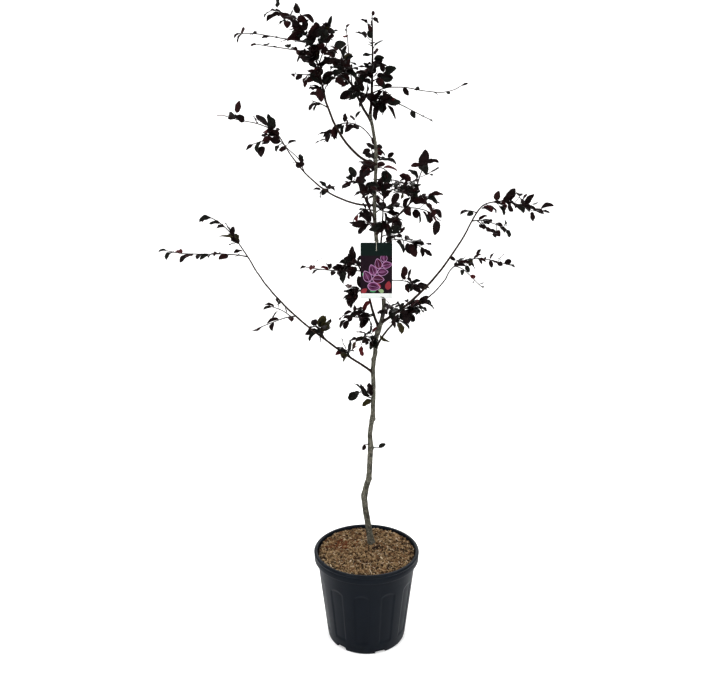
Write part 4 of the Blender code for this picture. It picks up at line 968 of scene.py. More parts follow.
def rings_of(points, sides):
    """For each point of a path, unit vectors to the sides of a ring square to it."""
    points = np.array(points)
    ahead = np.gradient(points, axis=0)
    ahead /= np.linalg.norm(ahead, axis=1)[:, None]
    across = np.empty_like(points)
    last = np.array(Vector(ahead[0]).orthogonal())
    for k, way in enumerate(ahead):
        last = last - way * last.dot(way)
        last /= np.linalg.norm(last)
        across[k] = last
    other = np.cross(ahead, across)
    angles = np.arange(sides) * 2 * math.pi / sides
    return across[:, None] * np.cos(angles)[:, None] + other[:, None] * np.sin(angles)[:, None]


def add_tube(batch, points, radii, sides):
    """A closed tube; radii hold one number for each ring, or one for each point of each ring."""
    radii = np.array(radii)
    radii = radii[:, None, None] if radii.ndim == 1 else radii[..., None]
    rings = np.array(points)[:, None] + rings_of(points, sides) * radii
    count = len(points) * sides
    faces = grid_faces(len(points), sides, closed=True)
    faces += [tuple(reversed(range(sides))), tuple(range(count - sides, count))]
    batch.add(rings, faces)


print("wander up to", SWAY * 1000, "mm")

# %% [markdown]
# Young beech bark is thin, grey and smooth. Up close it has faint long ribs, pale corky specks, and
# narrow rings where each year's growth began. The ribs and rings are modelled as relief on a fine
# grid, because they change the outline; specks and mottling are left to the shader.

# %% Bark materials
def bark(name, low, high, speck, bump, gloss):
    """Bark that goes from a low to a high colour, with specks of a third and fine upright streaks."""
    graph = Graph(name, Specular_IOR_Level=gloss)
    mottle = graph.cloud((95, 95, 60), 5.0, 0.7).above(0.36, 0.66)
    streaks = graph.cloud((420, 420, 40), 3.0)
    specks = 1 - graph.cells((260, 260, 330)).above(0.14, 0.36)
    patches = graph.cloud((60, 60, 60)).above(0.40, 0.58)
    tone = graph.colours(mottle * 0.75 + streaks * 0.25, low, high)
    tone = graph.colours(specks * patches * 0.8, tone, speck)
    normal = graph.bump(streaks * 0.6 + specks * 0.5 + mottle * 0.3, bump)
    return graph.feed(Base_Color=tone, Roughness=0.75 - mottle * 0.15, Normal=normal)


GREY_BARK = bark("grey bark", (0.023, 0.0225, 0.017), (0.140, 0.134, 0.107), (0.46, 0.44, 0.38),
                 bump=0.0006, gloss=0.2)
BOUGH_BARK = bark("bough bark", (0.009, 0.005, 0.004), (0.036, 0.021, 0.0155), (0.12, 0.09, 0.07),
                  bump=0.0003, gloss=0.12)
TWIG_BARK = bark("twig bark", (0.006, 0.003, 0.0025), (0.020, 0.0105, 0.0085), (0.06, 0.04, 0.03),
                 bump=0.00015, gloss=0.1)
print("bark in three finishes, for trunk, boughs and twigs")

# %% The trunk's relief
TRUNK_RING = 0.0025  # from one ring of points to the next
TRUNK_ROUND = 40
TRUNK_SUNK = 0.012  # its foot stands in the mix
RIB_HEIGHT, LUMP_HEIGHT, GRAIN_HEIGHT = 0.00055, 0.00060, 0.00035
YEAR_RINGS = (0.86, 1.31, 1.70)
YEAR_RING_HEIGHT, YEAR_RING_REACH, YEAR_RING_RIPPLE = 0.0005, 0.004, 2600
SCARS = [(0.455, 300, 0.0016), (0.52, 200, 0.0016), (0.585, 340, 0.0024), (0.71, 330, 0.0028),
         (0.827, 345, 0.0034), (0.930, 210, 0.0018), (1.062, 195, 0.0030), (1.175, 260, 0.0014)]
SCAR_REACH, SCAR_TURN = 0.007, 0.5
ARMPIT_HEIGHT, ARMPIT_RISE, ARMPIT_REACH, ARMPIT_TURN = 0.0018, 0.004, 0.011, 0.7
LOBES, LOBE_HEIGHT, LOBE_REACH, LOBE_START = 5, 0.0018, 0.02, 0.8


def swelling(height, angle, place, compass, reach, turn):
    """1 at one place of the trunk's side, fading to 0 above, below and round it."""
    aside = math.remainder(angle - math.radians(compass), 2 * math.pi)
    return math.exp(-(((height - place) / reach) ** 2) - (aside / turn) ** 2)


def trunk_relief(point, out, height):
    """How far the bark stands out at one point, in metres."""
    relief = RIB_HEIGHT * noise.noise(Vector((point.x * 90, point.y * 90, height * 9)))
    relief += LUMP_HEIGHT * noise.noise(point * 95) + GRAIN_HEIGHT * noise.noise(point * 260)
    angle = math.atan2(out.y, out.x)
    for year in YEAR_RINGS:
        near = math.exp(-(((height - year) / YEAR_RING_REACH) ** 2))
        relief += YEAR_RING_HEIGHT * near * (1 + math.sin(height * YEAR_RING_RIPPLE)) / 2
    for place, compass, size in SCARS:
        relief += size * swelling(height, angle, place, compass, SCAR_REACH, SCAR_TURN)
    for bough in BOUGHS.values():
        if bough.on == "trunk" and bough.at < TRUNK_TOP:
            place = bough.at + ARMPIT_RISE
            near = swelling(height, angle, place, bough.azimuth, ARMPIT_REACH, ARMPIT_TURN)
            relief += ARMPIT_HEIGHT * near
    flare = LOBE_HEIGHT * math.exp(-(height - TRUNK_FOOT) / LOBE_REACH)
    return relief + flare * (math.cos(angle * LOBES + LOBE_START) * 0.6 + noise.noise(out * 2))


def add_trunk():
    """A fine grid round the trunk, each point moved out by the relief there."""
    count = round((TRUNK_TOP - TRUNK_FOOT) / TRUNK_RING)
    heights = [TRUNK_FOOT + (TRUNK_TOP - TRUNK_FOOT) * k / count for k in range(count + 1)]
    heights[0] -= TRUNK_SUNK
    middles = [trunk_point(max(h, TRUNK_FOOT)) for h in heights]
    middles[0].z = heights[0]
    points = [p + sway(p) for p in middles]
    rings = rings_of(points, TRUNK_ROUND)
    radii = np.empty(rings.shape[:2])
    for k, height in enumerate(heights):
        for side in range(TRUNK_ROUND):
            out = Vector(rings[k, side])
            at = max(height, TRUNK_FOOT)
            radii[k, side] = trunk_radius(at) + trunk_relief(points[k] + out * 0.01, out, at)
    batch = Batch()
    add_tube(batch, points, radii, TRUNK_ROUND)
    batch.piece("trunk bark", GREY_BARK, "grey_bark", "trunk", sharp=70)


add_trunk()

# %% [markdown]
# A bough starts inside the trunk, on its axis, so no gap can show at the joint. It swells into a
# collar where it comes out. A limb that goes on from another's tip starts with that limb's girth.

# %% Boughs
BOUGH_RING = 0.004
BOUGH_ROUND = 16
BOUGH_SWELL = 1.12  # bark over the solid's girth
BOUGH_RELIEF = 0.00035
BOUGH_COLLAR, TWIG_COLLAR = 0.45, 0.5  # extra girth where one leaves its parent's side
SIDE_REACH, TIP_REACH = 0.007, 0.012  # how soon that fades, and how soon a tip's girth is left


def parent_girth(limb, own_paths):
    """Radius of the limb that this one grows on, at the place where it grows."""
    if limb.on == "trunk":
        return trunk_radius(limb.at)
    radii = own_paths[limb.on][1]
    return radii[-1] if limb.at == 1 else radii[round(limb.at * (len(radii) - 1))]


def joined(points, girths, limb, own_paths, collar):
    """Girths that meet the parent: its own girth at the tip, or a collar at its side."""
    start, parent = points[0], parent_girth(limb, own_paths)
    joined_girths = []
    for point, girth in zip(points, girths):
        away = (point - start).length
        if continues(limb):
            girth += (parent - girth) * math.exp(-away / TIP_REACH)
        else:
            girth *= 1 + collar * math.exp(-max(away - parent, 0) / SIDE_REACH)
        joined_girths.append(girth)
    return joined_girths


def rough(points, girths, sides, depth):
    """Girths with small bumps, one for each point of each ring."""
    rings = rings_of(points, sides)
    bumps = [[noise.noise(Vector(point) * 120 + Vector(out) * 1.2) for out in ring]
             for point, ring in zip(points, rings)]
    return np.array(girths)[:, None] + np.array(bumps) * depth


def add_bough(name):
    """One bough, smooth along its length and a little uneven all over."""
    limb = BOUGHS[name]
    points, girths = limb_path(start_of(limb, paths), limb, BOUGH_STATION)
    points, girths = smooth_path(points, girths, BOUGH_RING)
    girths = [girth * BOUGH_SWELL for girth in joined(points, girths, limb, paths, BOUGH_COLLAR)]
    batch = Batch()
    add_tube(batch, points, rough(points, girths, BOUGH_ROUND, BOUGH_RELIEF), BOUGH_ROUND)
    batch.piece(name.replace("_", " ") + " bark", BOUGH_BARK, "bough_bark", name, sharp=70)


for name in BOUGHS:
    add_bough(name)

# %% [markdown]
# ## Twigs and buds
# A twig is thin enough for eight sides. It ends in a slender pointed bud, and smaller buds of the
# same shape sit where the leaves join: a beech is known by them. All the twigs, spurs, leaf stalks
# and buds of the tree are one mesh.

# %% Twigs
TWIG_RING = 0.006
TWIG_ROUND = 8
TWIG_SWELL = 1.22
SPUR_RING, SPUR_ROUND, SPUR_SLIM = 0.004, 6, 0.8
BUD_LENGTH, BUD_GIRTH, BUD_ROUND = 0.009, 0.0013, 6
END_BUD = 1.1  # size of the bud at a shoot's end
BUD_SHAPE = [(0.0, 0.45), (0.12, 0.8), (0.35, 1.0), (0.6, 0.78), (0.85, 0.3), (1.0, 0.04)]


def add_bud(batch, root, ahead, size):
    """A spindle of a few rings."""
    points = [root + ahead * (BUD_LENGTH * size * share) for share, _ in BUD_SHAPE]
    add_tube(batch, points, [BUD_GIRTH * size * girth for _, girth in BUD_SHAPE], BUD_ROUND)


def add_spray_wood(batch, name):
    """Draws one spray's shoots and spurs. Returns all the points of its wood."""
    known = {**paths, **dict(enumerate(spray_paths[name]))}
    wood = []
    for limb, (points, radii) in zip(SPRAYS[name], spray_paths[name]):
        points, girths = smooth_path(points, radii, TWIG_RING)
        girths = joined(points, girths, limb, known, TWIG_COLLAR)
        add_tube(batch, points, [girth * TWIG_SWELL for girth in girths], TWIG_ROUND)
        add_bud(batch, points[-1], (points[-1] - points[-2]).normalized(), END_BUD)
        wood += points
    for points, radii in rooms[name].spurs:
        bent = [points[0], (points[0] + points[1]) / 2, points[1]]
        points, girths = smooth_path(bent, [radii[0], radii[0], radii[1]], SPUR_RING)
        add_tube(batch, points, [girth * SPUR_SLIM for girth in girths], SPUR_ROUND)
        wood += points
    return np.array(wood)


twigs = Batch()
wood_points = {name: add_spray_wood(twigs, name) for name in SPRAYS}
print(len(twigs.faces), "faces of twigs")

# %% [markdown]
# ## Leaves
# A copper beech's leaf is a short oval that comes to a blunt point. Its edge waves, its seven pairs
# of side veins press shallow pleats into the blade, and the two halves fold up along the midrib like
# the pages of a book. A grid of points in the leaf's own outline carries all of this. Each leaf
# draws its own fold, curl, twist and waves, so that no two catch the light alike.

# %% A leaf's own shape
LEAF_ROWS, LEAF_COLUMNS = 22, 7
LEAF_HALF_WIDTH = 0.31  # share of the blade's length
OVAL_FOOT, OVAL_TIP, OVAL_SCALE = 0.60, 0.80, 2.46  # powers that round its two ends, and their scale
SCALLOP, PLEAT, PLEAT_SLANT = 0.045, 0.007, 0.9
WAVE_LOW, WAVE_HIGH = 0.01, 0.045
STALK_SHARE = 0.10
STALK_GIRTH, STALK_SAG, STALK_ROUND = 0.00055, 0.06, 4
USUAL_LEAF = 0.055  # the leaf length that the stalk's girth is given for
SIDE_BUD_ODDS = 0.4
VEIN_PAIRS = 7
BLADE_FACES = grid_faces(LEAF_ROWS, LEAF_COLUMNS)


def leaf_blade(base, ahead, face, length, rng):
    """Points of one blade and of its midrib."""
    s = np.linspace(0.004, 0.996, LEAF_ROWS)[:, None]
    t = np.linspace(-1, 1, LEAF_COLUMNS)[None]
    side = np.abs(t)
    half = LEAF_HALF_WIDTH * rng.uniform(0.86, 1.12) * OVAL_SCALE * s ** OVAL_FOOT * (1 - s) ** OVAL_TIP
    half = half * (1 + SCALLOP * np.cos(2 * math.pi * VEIN_PAIRS * s))
    fold = math.radians(abs(rng.gauss(14, 14)))
    out, lift = t * half * math.cos(fold), side * half * math.sin(fold)
    phase = np.where(t > 0, rng.uniform(0, 2 * math.pi), rng.uniform(0, 2 * math.pi))
    wave = rng.uniform(WAVE_LOW, WAVE_HIGH) * side ** 2
    lift = lift + wave * np.sin(2 * math.pi * rng.uniform(1.4, 2.6) * s + phase)
    lift = lift - PLEAT * side * np.cos(2 * math.pi * (VEIN_PAIRS * s - PLEAT_SLANT * side))
    curl = math.radians(rng.gauss(28, 22)) * s ** 1.2
    run = np.cumsum(np.cos(curl), axis=0) / LEAF_ROWS
    fall = np.cumsum(np.sin(curl), axis=0) / LEAF_ROWS
    twist = math.radians(rng.gauss(0, 16)) * s
    ahead, face = np.array(ahead), np.array(face)
    across = np.cross(ahead, face)
    up = face * np.cos(curl) + ahead * np.sin(curl)
    rib = ahead * run - face * fall
    wide = (across * np.cos(twist) + up * np.sin(twist))[:, None]
    high = (up * np.cos(twist) - across * np.sin(twist))[:, None]
    blade = rib[:, None] + wide * out[..., None] + high * lift[..., None]
    return np.array(base) + blade * length, np.array(base) + rib * length


def snap(root, wood):
    """The place on a spray's drawn wood that is nearest to a leaf's root."""
    return Vector(wood[np.argmin(((wood - np.array(root)) ** 2).sum(axis=1))])


def add_leaf(blades, stalks, leaf, wood, rng):
    """One leaf: its blade, a stalk that runs on as the midrib, and now and then a bud at its foot."""
    root, ahead, face, length = leaf
    foot = snap(root, wood)
    base = root + (foot - root) * 0.5 + ahead * (STALK_SHARE * length)
    points, rib = leaf_blade(base, ahead, face, length * (1 - STALK_SHARE), rng)
    blades.add(points, BLADE_FACES)
    bend = base - Vector((0, 0, STALK_SAG * length * rng.random())) - (base - foot) * 0.5
    stalk = [foot, (foot + bend) / 2, bend, base] + [Vector(p) for p in rib[2:-4:3]]
    thin = np.linspace(1, 0.25, len(stalk)) * STALK_GIRTH * (length / USUAL_LEAF) ** 0.5
    add_tube(stalks, stalk, thin, STALK_ROUND)
    if rng.random() < SIDE_BUD_ODDS:
        add_bud(stalks, foot, (ahead + Vector((0, 0, 0.6))).normalized(), rng.uniform(0.55, 0.8))


print(len(BLADE_FACES), "faces for each blade")

# %% [markdown]
# At a distance the crown is almost black, but the leaves aren't one colour. Most are a dark maroon,
# a few are a brighter red, which is a painted highlight: the colour of leaves that catch the light,
# given to leaves at random. The shaded ones turn a dark grey green, and the lowest are olive. A
# plain colour for each kind, dealt out leaf by leaf with odds that depend on the spray, gives that
# mix without any image.

# %% Leaf materials
def leaf_finish(name, dark, light, roughness):
    """A soft mottle between two colours of one kind, and a fine grain that breaks up the gloss."""
    graph = Graph(name, Specular_IOR_Level=0.10)
    mottle = graph.cloud((60, 60, 60), 3.0).above(0.3, 0.7)
    fine = graph.cloud((900, 900, 900), 2.0)
    tone = graph.colours(mottle * 0.8 + fine * 0.2, dark, light)
    normal = graph.bump(fine, 0.0002, 0.5)
    return graph.feed(Base_Color=tone, Roughness=roughness + mottle * 0.12, Normal=normal)


LEAF_COLOURS = {
    "dark maroon": ((0.0050, 0.0019, 0.0020), (0.0130, 0.0046, 0.0048), 0.46),
    "maroon": ((0.0130, 0.0034, 0.0037), (0.0300, 0.0082, 0.0086), 0.46),
    # painted highlight: this red is the colour of maroon leaves in full light, dealt out at random
    "wine red": ((0.0420, 0.0060, 0.0070), (0.0850, 0.0130, 0.0150), 0.46),
    "grey green": ((0.0042, 0.0048, 0.0036), (0.0130, 0.0138, 0.0105), 0.48),
    "olive": ((0.0190, 0.0165, 0.0050), (0.0480, 0.0400, 0.0140), 0.50),
}  # for each kind of leaf: two colours and a roughness
LEAF_FINISHES = {kind: leaf_finish(kind + " leaf", *looks) for kind, looks in LEAF_COLOURS.items()}
ODDS = {"dark maroon": 54, "maroon": 20, "wine red": 4, "grey green": 20, "olive": 2}
LOW_ODDS = {"dark maroon": 30, "maroon": 16, "wine red": 3, "grey green": 31, "olive": 20}
LOW_SPRAYS = ("leaves_lowest", "leaves_knot", "leaves_low_left_foot", "leaves_low_left_inner",
              "leaves_right_second_foot", "leaves_left_low")
print(len(LEAF_FINISHES), "kinds of leaf")

# %% Grow all the leaves
blades = {kind: Batch() for kind in LEAF_FINISHES}
for name, room in rooms.items():
    rng = random.Random("blades " + name)
    odds = LOW_ODDS if name in LOW_SPRAYS else ODDS
    for leaf in room.leaves:
        kind = rng.choices(list(odds), list(odds.values()))[0]
        add_leaf(blades[kind], twigs, leaf, wood_points[name], rng)

MASSES = sorted(SPRAYS)
twigs.piece("twigs and buds", TWIG_BARK, "copper_foliage", *MASSES, sharp=70)
for kind, batch in blades.items():
    batch.piece(kind + " leaves", LEAF_FINISHES[kind], "copper_foliage", *MASSES)

# %% [markdown]
# ## The pot
# A nursery pot is moulded in thin black plastic: a tapered wall, a rolled rim, a small step below
# it, and eleven shallow flutes that stiffen the wall. Arched notches in its lower edge let water out.
# A turned profile gives wall and rim. The flutes are added as the grid of points is made, by
# pressing each point in by a depth that depends on its angle and height.

# %% Pot sizes
POT_ROUND = 352
POT_FOOT_RADIUS, FOOT_ROUNDING, FOOT_STEPS = 0.1475, 0.006, 5
RIM_BOTTOM, WALL_TOP_RADIUS = 0.296, 0.1885
WALL_LOW, WALL_RING, WALL_HIGH = 0.012, 0.004, 0.292  # where its rings of points start and end
WALL_STEP, WALL_STEP_HEIGHT = 0.0009, 0.266  # the wall is this much thicker above this height
RIM_OUTSIDE = [(0.1965, 0.2962), (0.1993, 0.2972), (0.2004, 0.2990), (0.2009, 0.3030), (0.2012, 0.3090),
               (0.2013, 0.3140), (0.2008, 0.3155), (0.2008, 0.3170)]  # radius, height
RIM_LIPS = [((0.1965, 0.3240), 0.0060, -48, 90, 10), ((0.1935, 0.3250), 0.0050, 95, 175, 6)]
POT_INSIDE = [(0.1878, 0.3200), (0.1862, 0.3100), (0.1855, 0.2960), (0.1530, 0.0600), (0.03, 0.05)]
FLUTES, FLUTE_SHARE, FLUTE_DEPTH = 11, 0.58, 0.0023
FLUTE_LOW, FLUTE_HIGH, FLUTE_ARCH = 0.040, 0.243, 0.012
FLUTE_SIDE_BLEND, FLUTE_END_BLEND = 0.17, 0.006
FIRST_FLUTE = -96.5  # compass angle of the middle of one flute
DRAIN_NOTCHES, FIRST_NOTCH = 6, -70
NOTCH_WIDTH, NOTCH_HEIGHT, NOTCH_CORNER, NOTCH_STEPS = 0.042, 0.015, 0.008, 6
CUTTER_INSIDE, CUTTER_OUTSIDE, CUTTER_BELOW = 0.013, 0.02, -0.01  # how far the cutters reach
POT_SHARP = 38  # degrees


def arc(centre, radius, start, end, steps):
    """Points on an arc from one angle to another, both in degrees."""
    angles = [math.radians(start + (end - start) * k / steps) for k in range(steps + 1)]
    return [(centre[0] + radius * math.cos(a), centre[1] + radius * math.sin(a)) for a in angles]


def wall_radius(height):
    """The plain tapered wall, on its outside."""
    return POT_FOOT_RADIUS + (WALL_TOP_RADIUS - POT_FOOT_RADIUS) * height / RIM_BOTTOM


def share_of(part, whole):
    """A part as a share of the whole, kept between 0 and 1."""
    return min(max(part / whole, 0), 1)


def flute_depth(angle, height):
    """How far the wall is pressed in: full inside a flute, fading at its sides, foot and round top."""
    pitch = 2 * math.pi / FLUTES
    across = math.remainder(angle - math.radians(FIRST_FLUTE), pitch) / (pitch * FLUTE_SHARE / 2)
    top = FLUTE_HIGH - FLUTE_ARCH * across * across
    side = share_of(1 - abs(across), FLUTE_SIDE_BLEND)
    ends = share_of(top - height, FLUTE_END_BLEND) * share_of(height - FLUTE_LOW, FLUTE_END_BLEND)
    blend = side * ends
    return FLUTE_DEPTH * blend * blend * (3 - 2 * blend)


def pot_profile():
    """(radius, height) from the foot's inner side, round the wall and rim, and down inside."""
    foot_middle = (POT_FOOT_RADIUS - FOOT_ROUNDING, FOOT_ROUNDING)
    profile = [(0.03, 0), (0.10, 0)] + arc(foot_middle, FOOT_ROUNDING, -90, 0, FOOT_STEPS)
    heights = [WALL_LOW + WALL_RING * k for k in range(64)]
    profile += [(wall_radius(h) + (WALL_STEP if h > WALL_STEP_HEIGHT else 0), h)
                for h in heights if h < WALL_HIGH]
    profile.append((wall_radius(0.294) + WALL_STEP, 0.2935))
    profile += RIM_OUTSIDE
    for lip in RIM_LIPS:
        profile += arc(*lip)
    return profile + POT_INSIDE


def add_pot(finish):
    """The turned pot with its flutes, then the notches cut out of it."""
    profile = pot_profile()
    points = []
    for radius, height in profile:
        for turn in range(POT_ROUND):
            angle = 2 * math.pi * turn / POT_ROUND
            outside = radius > wall_radius(height) - 0.0005 and height < RIM_BOTTOM
            depth = flute_depth(angle, height) if outside else 0
            points.append(((radius - depth) * math.cos(angle), (radius - depth) * math.sin(angle), height))
    batch = Batch()
    faces = grid_faces(len(profile), POT_ROUND, closed=True)
    faces += [tuple(reversed(range(POT_ROUND))), tuple(range(len(points) - POT_ROUND, len(points)))]
    batch.add(points, faces)
    pot = batch.piece("nursery pot", finish, "pot_plastic", "pot")
    cut_notches(pot)
    pot.data.set_sharp_from_angle(angle=math.radians(POT_SHARP))


def cut_notches(pot):
    """Cuts the arched drain notches with one Boolean."""
    cutters = Batch()
    half, high, corner = NOTCH_WIDTH / 2, NOTCH_HEIGHT, NOTCH_CORNER
    outline = [(-half, CUTTER_BELOW), (half, CUTTER_BELOW)]
    outline += arc((half - corner, high - corner), corner, 0, 90, NOTCH_STEPS)
    outline += arc((corner - half, high - corner), corner, 90, 180, NOTCH_STEPS)
    count = len(outline)
    for k in range(DRAIN_NOTCHES):
        a = math.radians(FIRST_NOTCH + 360 * k / DRAIN_NOTCHES)
        ring = [(r * math.cos(a) - y * math.sin(a), r * math.sin(a) + y * math.cos(a), z)
                for r in (POT_FOOT_RADIUS - CUTTER_INSIDE, POT_FOOT_RADIUS + CUTTER_OUTSIDE)
                for y, z in outline]
        faces = [(j, (j + 1) % count, (j + 1) % count + count, j + count) for j in range(count)]
        faces += [tuple(reversed(range(count))), tuple(range(count, 2 * count))]
        cutters.add(ring, faces)
    mesh = bpy.data.meshes.new("notch cutters")
    mesh.from_pydata(np.concatenate(cutters.points).tolist(), [], cutters.faces)
    cutter = bpy.data.objects.new("notch cutters", mesh)
    bpy.context.scene.collection.objects.link(cutter)
    cut = pot.modifiers.new("drain notches", "BOOLEAN")
    cut.operation, cut.object, cut.solver = "DIFFERENCE", cutter, "EXACT"
    bpy.context.view_layer.update()
    graph = bpy.context.evaluated_depsgraph_get()
    result = bpy.data.meshes.new_from_object(pot.evaluated_get(graph))
    pot.modifiers.remove(cut)
    pot.data = result
    bpy.data.objects.remove(cutter)


print(FLUTES, "flutes and", DRAIN_NOTCHES, "drain notches")

# %% [markdown]
# The plastic is a recycled blue black, half matt. In use it gets a film of dust, rain marks low on
# the wall and fine scratches that run round it. All three change the roughness more than the colour.

# %% Pot material
def pot_plastic():
    """Blue black plastic with dust, splashes, scratches round the wall and a fine grain."""
    graph = Graph("black pot plastic", Specular_IOR_Level=0.17)
    dust = graph.cloud((9, 9, 5), 5.0, 0.6).above(0.42, 0.75)
    rings = graph.cloud((14, 14, 700), 2.0)
    grain = graph.cloud((700, 700, 700), 2.0)
    splash = graph.cloud((70, 70, 26), 4.0, 0.7).above(0.60, 0.72)
    marks = dust * 0.55 + splash * 0.45
    tone = graph.colours(marks, (0.0022, 0.0050, 0.0100), (0.0075, 0.0110, 0.0160))
    normal = graph.bump(rings * 0.5 + grain * 0.5, 0.00015, 0.6)
    return graph.feed(Base_Color=tone, Roughness=0.36 + marks * 0.22 + rings * 0.06, Normal=normal)


add_pot(pot_plastic())

# %% [markdown]
# ## Potting mix
# A tree this size stands in a coarse mix of composted bark. Its surface is a rough, lumpy ground of
# fine crumbs, and on it lie many splinters from a few millimetres to two centimetres, each at its
# own tilt. The ground is a grid moved by noise. The splinters come in six colours, of which a rusty
# one keeps to a patch at the left and a peaty one to a hollow before the trunk.

# %% Ground of the mix
MIX_ROWS, MIX_ROUND = 64, 200
MIX_RADIUS = 0.1850
MIX_SUNK = 0.0015  # mean depth of its surface under the solid's
MIX_LUMPS, MIX_CRUMBS = 0.0040, 0.0009
MIX_EDGE, MIX_EDGE_WIDTH, MIX_EDGE_DROP = 0.165, 0.020, 0.003
MIX_UNDERSIDE = [(0.1845, 0.290), (0.1425, 0.025), (0.1200, 0.0040), (0.02, 0.0040)]  # radius, height


def mix_height(x, y):
    """Height of the mix's ground at a place."""
    edge = max(0, (math.hypot(x, y) - MIX_EDGE) / MIX_EDGE_WIDTH)
    spot = Vector((x, y, 0))
    lumps = noise.noise(spot * 38) * 0.6 + noise.noise(spot * 95) * 0.4
    crumbs = MIX_CRUMBS * noise.noise(spot * 420)
    return MIX_TOP - MIX_SUNK - MIX_EDGE_DROP * edge + MIX_LUMPS * lumps + crumbs


def mix_finish(name, dark, light, scale):
    """Dull, crumbly and mottled between two colours."""
    graph = Graph(name, Roughness=0.95, Specular_IOR_Level=0.2)
    crumbs = 1 - graph.cells((scale, scale, scale)).above(0.1, 0.7)
    mottle = graph.cloud((120, 120, 120), 4.0, 0.65).above(0.32, 0.68)
    tone = graph.colours(crumbs * 0.5 + mottle * 0.5, dark, light)
    return graph.feed(Base_Color=tone, Normal=graph.bump(crumbs * 0.7 + mottle * 0.6, 0.0012))


def add_mix():
    """The lumpy top, and plain sides and a floor that keep clear of the drain notches."""
    rings = [(row * MIX_RADIUS / MIX_ROWS, None) for row in range(1, MIX_ROWS + 1)] + MIX_UNDERSIDE
    points = []
    for radius, height in rings:
        for turn in range(MIX_ROUND):
            angle = 2 * math.pi * turn / MIX_ROUND
            x, y = radius * math.cos(angle), radius * math.sin(angle)
            points.append((x, y, mix_height(x, y) if height is None else height))
    count = len(points)
    faces = grid_faces(len(rings), MIX_ROUND, closed=True)
    faces += [tuple(reversed(range(MIX_ROUND))), tuple(range(count - MIX_ROUND, count))]
    batch = Batch()
    batch.add(points, faces)
    # partly painted shade: the fine compost is dark, and these colours are darker still to stand for the
    # shade in the gaps between the chips
    finish = mix_finish("composted bark", (0.018, 0.010, 0.005), (0.105, 0.066, 0.034), 420)
    batch.piece("ground of the mix", finish, "potting_mix", "potting_mix", sharp=60)


add_mix()

# %% Bark chips
CHIP_KINDS = {
    "straw chips": (2100, (0.158, 0.104, 0.052), (0.440, 0.322, 0.194), 1.0, None),
    "brown chips": (900, (0.098, 0.053, 0.026), (0.256, 0.158, 0.085), 1.05, None),
    "dark chips": (260, (0.026, 0.012, 0.007), (0.070, 0.038, 0.021), 1.0, None),
    "pale chips": (420, (0.290, 0.225, 0.152), (0.620, 0.515, 0.385), 0.9, None),
    "rusty chips": (260, (0.085, 0.029, 0.012), (0.205, 0.084, 0.038), 1.0, (-0.098, 0.040, 0.026)),
    "peaty chips": (90, (0.012, 0.007, 0.005), (0.045, 0.024, 0.014), 1.0, (0.040, 0.012, 0.013)),
}  # count, two colours, a size, and the middle and spread of those that lie in one patch
CHIP_LENGTH, LONGEST_CHIP = 0.0104, 2.1  # the middle length, and the longest as a multiple of it
CHIP_CORNERS = 7
CHIP_SPREAD, CHIP_EDGE = 0.183, 0.1868  # chips are strewn to the one radius and may reach the other
BARE_SPOT, BARE_RADIUS = (0.019, 0.055), 0.017  # no chip lies where the trunk stands


def chip_place(rng, patch):
    """Anywhere on the mix, or in a patch of it."""
    if patch:
        return rng.gauss(patch[0], patch[2]), rng.gauss(patch[1], patch[2])
    radius, compass = CHIP_SPREAD * math.sqrt(rng.random()), rng.uniform(0, 2 * math.pi)
    return radius * math.cos(compass), radius * math.sin(compass)


def add_chip(batch, rng, size, patch):
    """A flat splinter: an uneven ring above, another below, on the ground at its own tilt."""
    x, y = chip_place(rng, patch)
    length = CHIP_LENGTH * size * min(rng.lognormvariate(0, 0.42), LONGEST_CHIP)
    width, thick = length * rng.uniform(0.20, 0.50), length * rng.uniform(0.08, 0.20)
    turn = rng.uniform(0, 2 * math.pi)
    up = Vector((rng.gauss(0, 0.55), rng.gauss(0, 0.55), 1)).normalized()
    along = Vector((math.cos(turn), math.sin(turn), 0))
    along = (along - up * along.dot(up)).normalized()
    across = up.cross(along)
    middle = Vector((x, y, mix_height(x, y) + thick * 0.7 + 0.0008 * rng.random()))
    points = []
    for level, shrink in ((0.5, 0.82), (-0.5, 1.0)):
        for corner in range(CHIP_CORNERS):
            angle = 2 * math.pi * corner / CHIP_CORNERS
            reach = shrink * (1 + rng.uniform(-0.22, 0.22)) / 2
            points.append(middle + along * (length * reach * math.cos(angle))
                          + across * (width * reach * math.sin(angle)) + up * (thick * level))
    reach = max(math.hypot(point.x, point.y) for point in points)
    if reach > CHIP_EDGE or math.hypot(x - BARE_SPOT[0], y - BARE_SPOT[1]) < BARE_RADIUS:
        return
    count = CHIP_CORNERS
    faces = [(k, (k + 1) % count, (k + 1) % count + count, k + count) for k in range(count)]
    faces = [tuple(reversed(face)) for face in faces]
    faces += [tuple(range(count)), tuple(reversed(range(count, 2 * count)))]
    batch.add([tuple(p) for p in points], faces)


rng = random.Random("bark chips")
for kind, (count, dark, light, size, patch) in CHIP_KINDS.items():
    batch = Batch()
    for _ in range(count):
        add_chip(batch, rng, size, patch)
    batch.piece(kind, mix_finish(kind, dark, light, 260), "potting_mix", "potting_mix", sharp=30)

# %% [markdown]
# ## The hang tag
# The tag is a smooth white card, printed on its front: a dark band across its top, a picture of
# foliage in the middle and a bare strip at its foot. The picture here is a free design: one slanting
# stem of pale-edged leaves, over a few small bright ones. Each printed area is a very thin plate, the
# leaves on the picture thinner still, so each has a plain colour of its own and a true edge.

# %% Card and print
CARD_HALF, CARD_CORNER = TAG_WIDTH / 2, 0.004
HOLE_Z, HOLE_RADIUS, HOLE_STEPS = TAG_TOP - 0.029, 0.0035, 14
BAND_HEIGHT, STRIP_HEIGHT = 0.050, 0.020
FILM = 0.00012  # thickness of a printed area
PRINT_INSET = 0.0004  # the picture's leaves stop this far inside the card's edge
CORNER_STEPS, PRINT_LEAF_CORNERS = 6, 28
PICTURE_LOW, PICTURE_HIGH = TAG_TOP - TAG_HEIGHT + STRIP_HEIGHT, TAG_TOP - BAND_HEIGHT


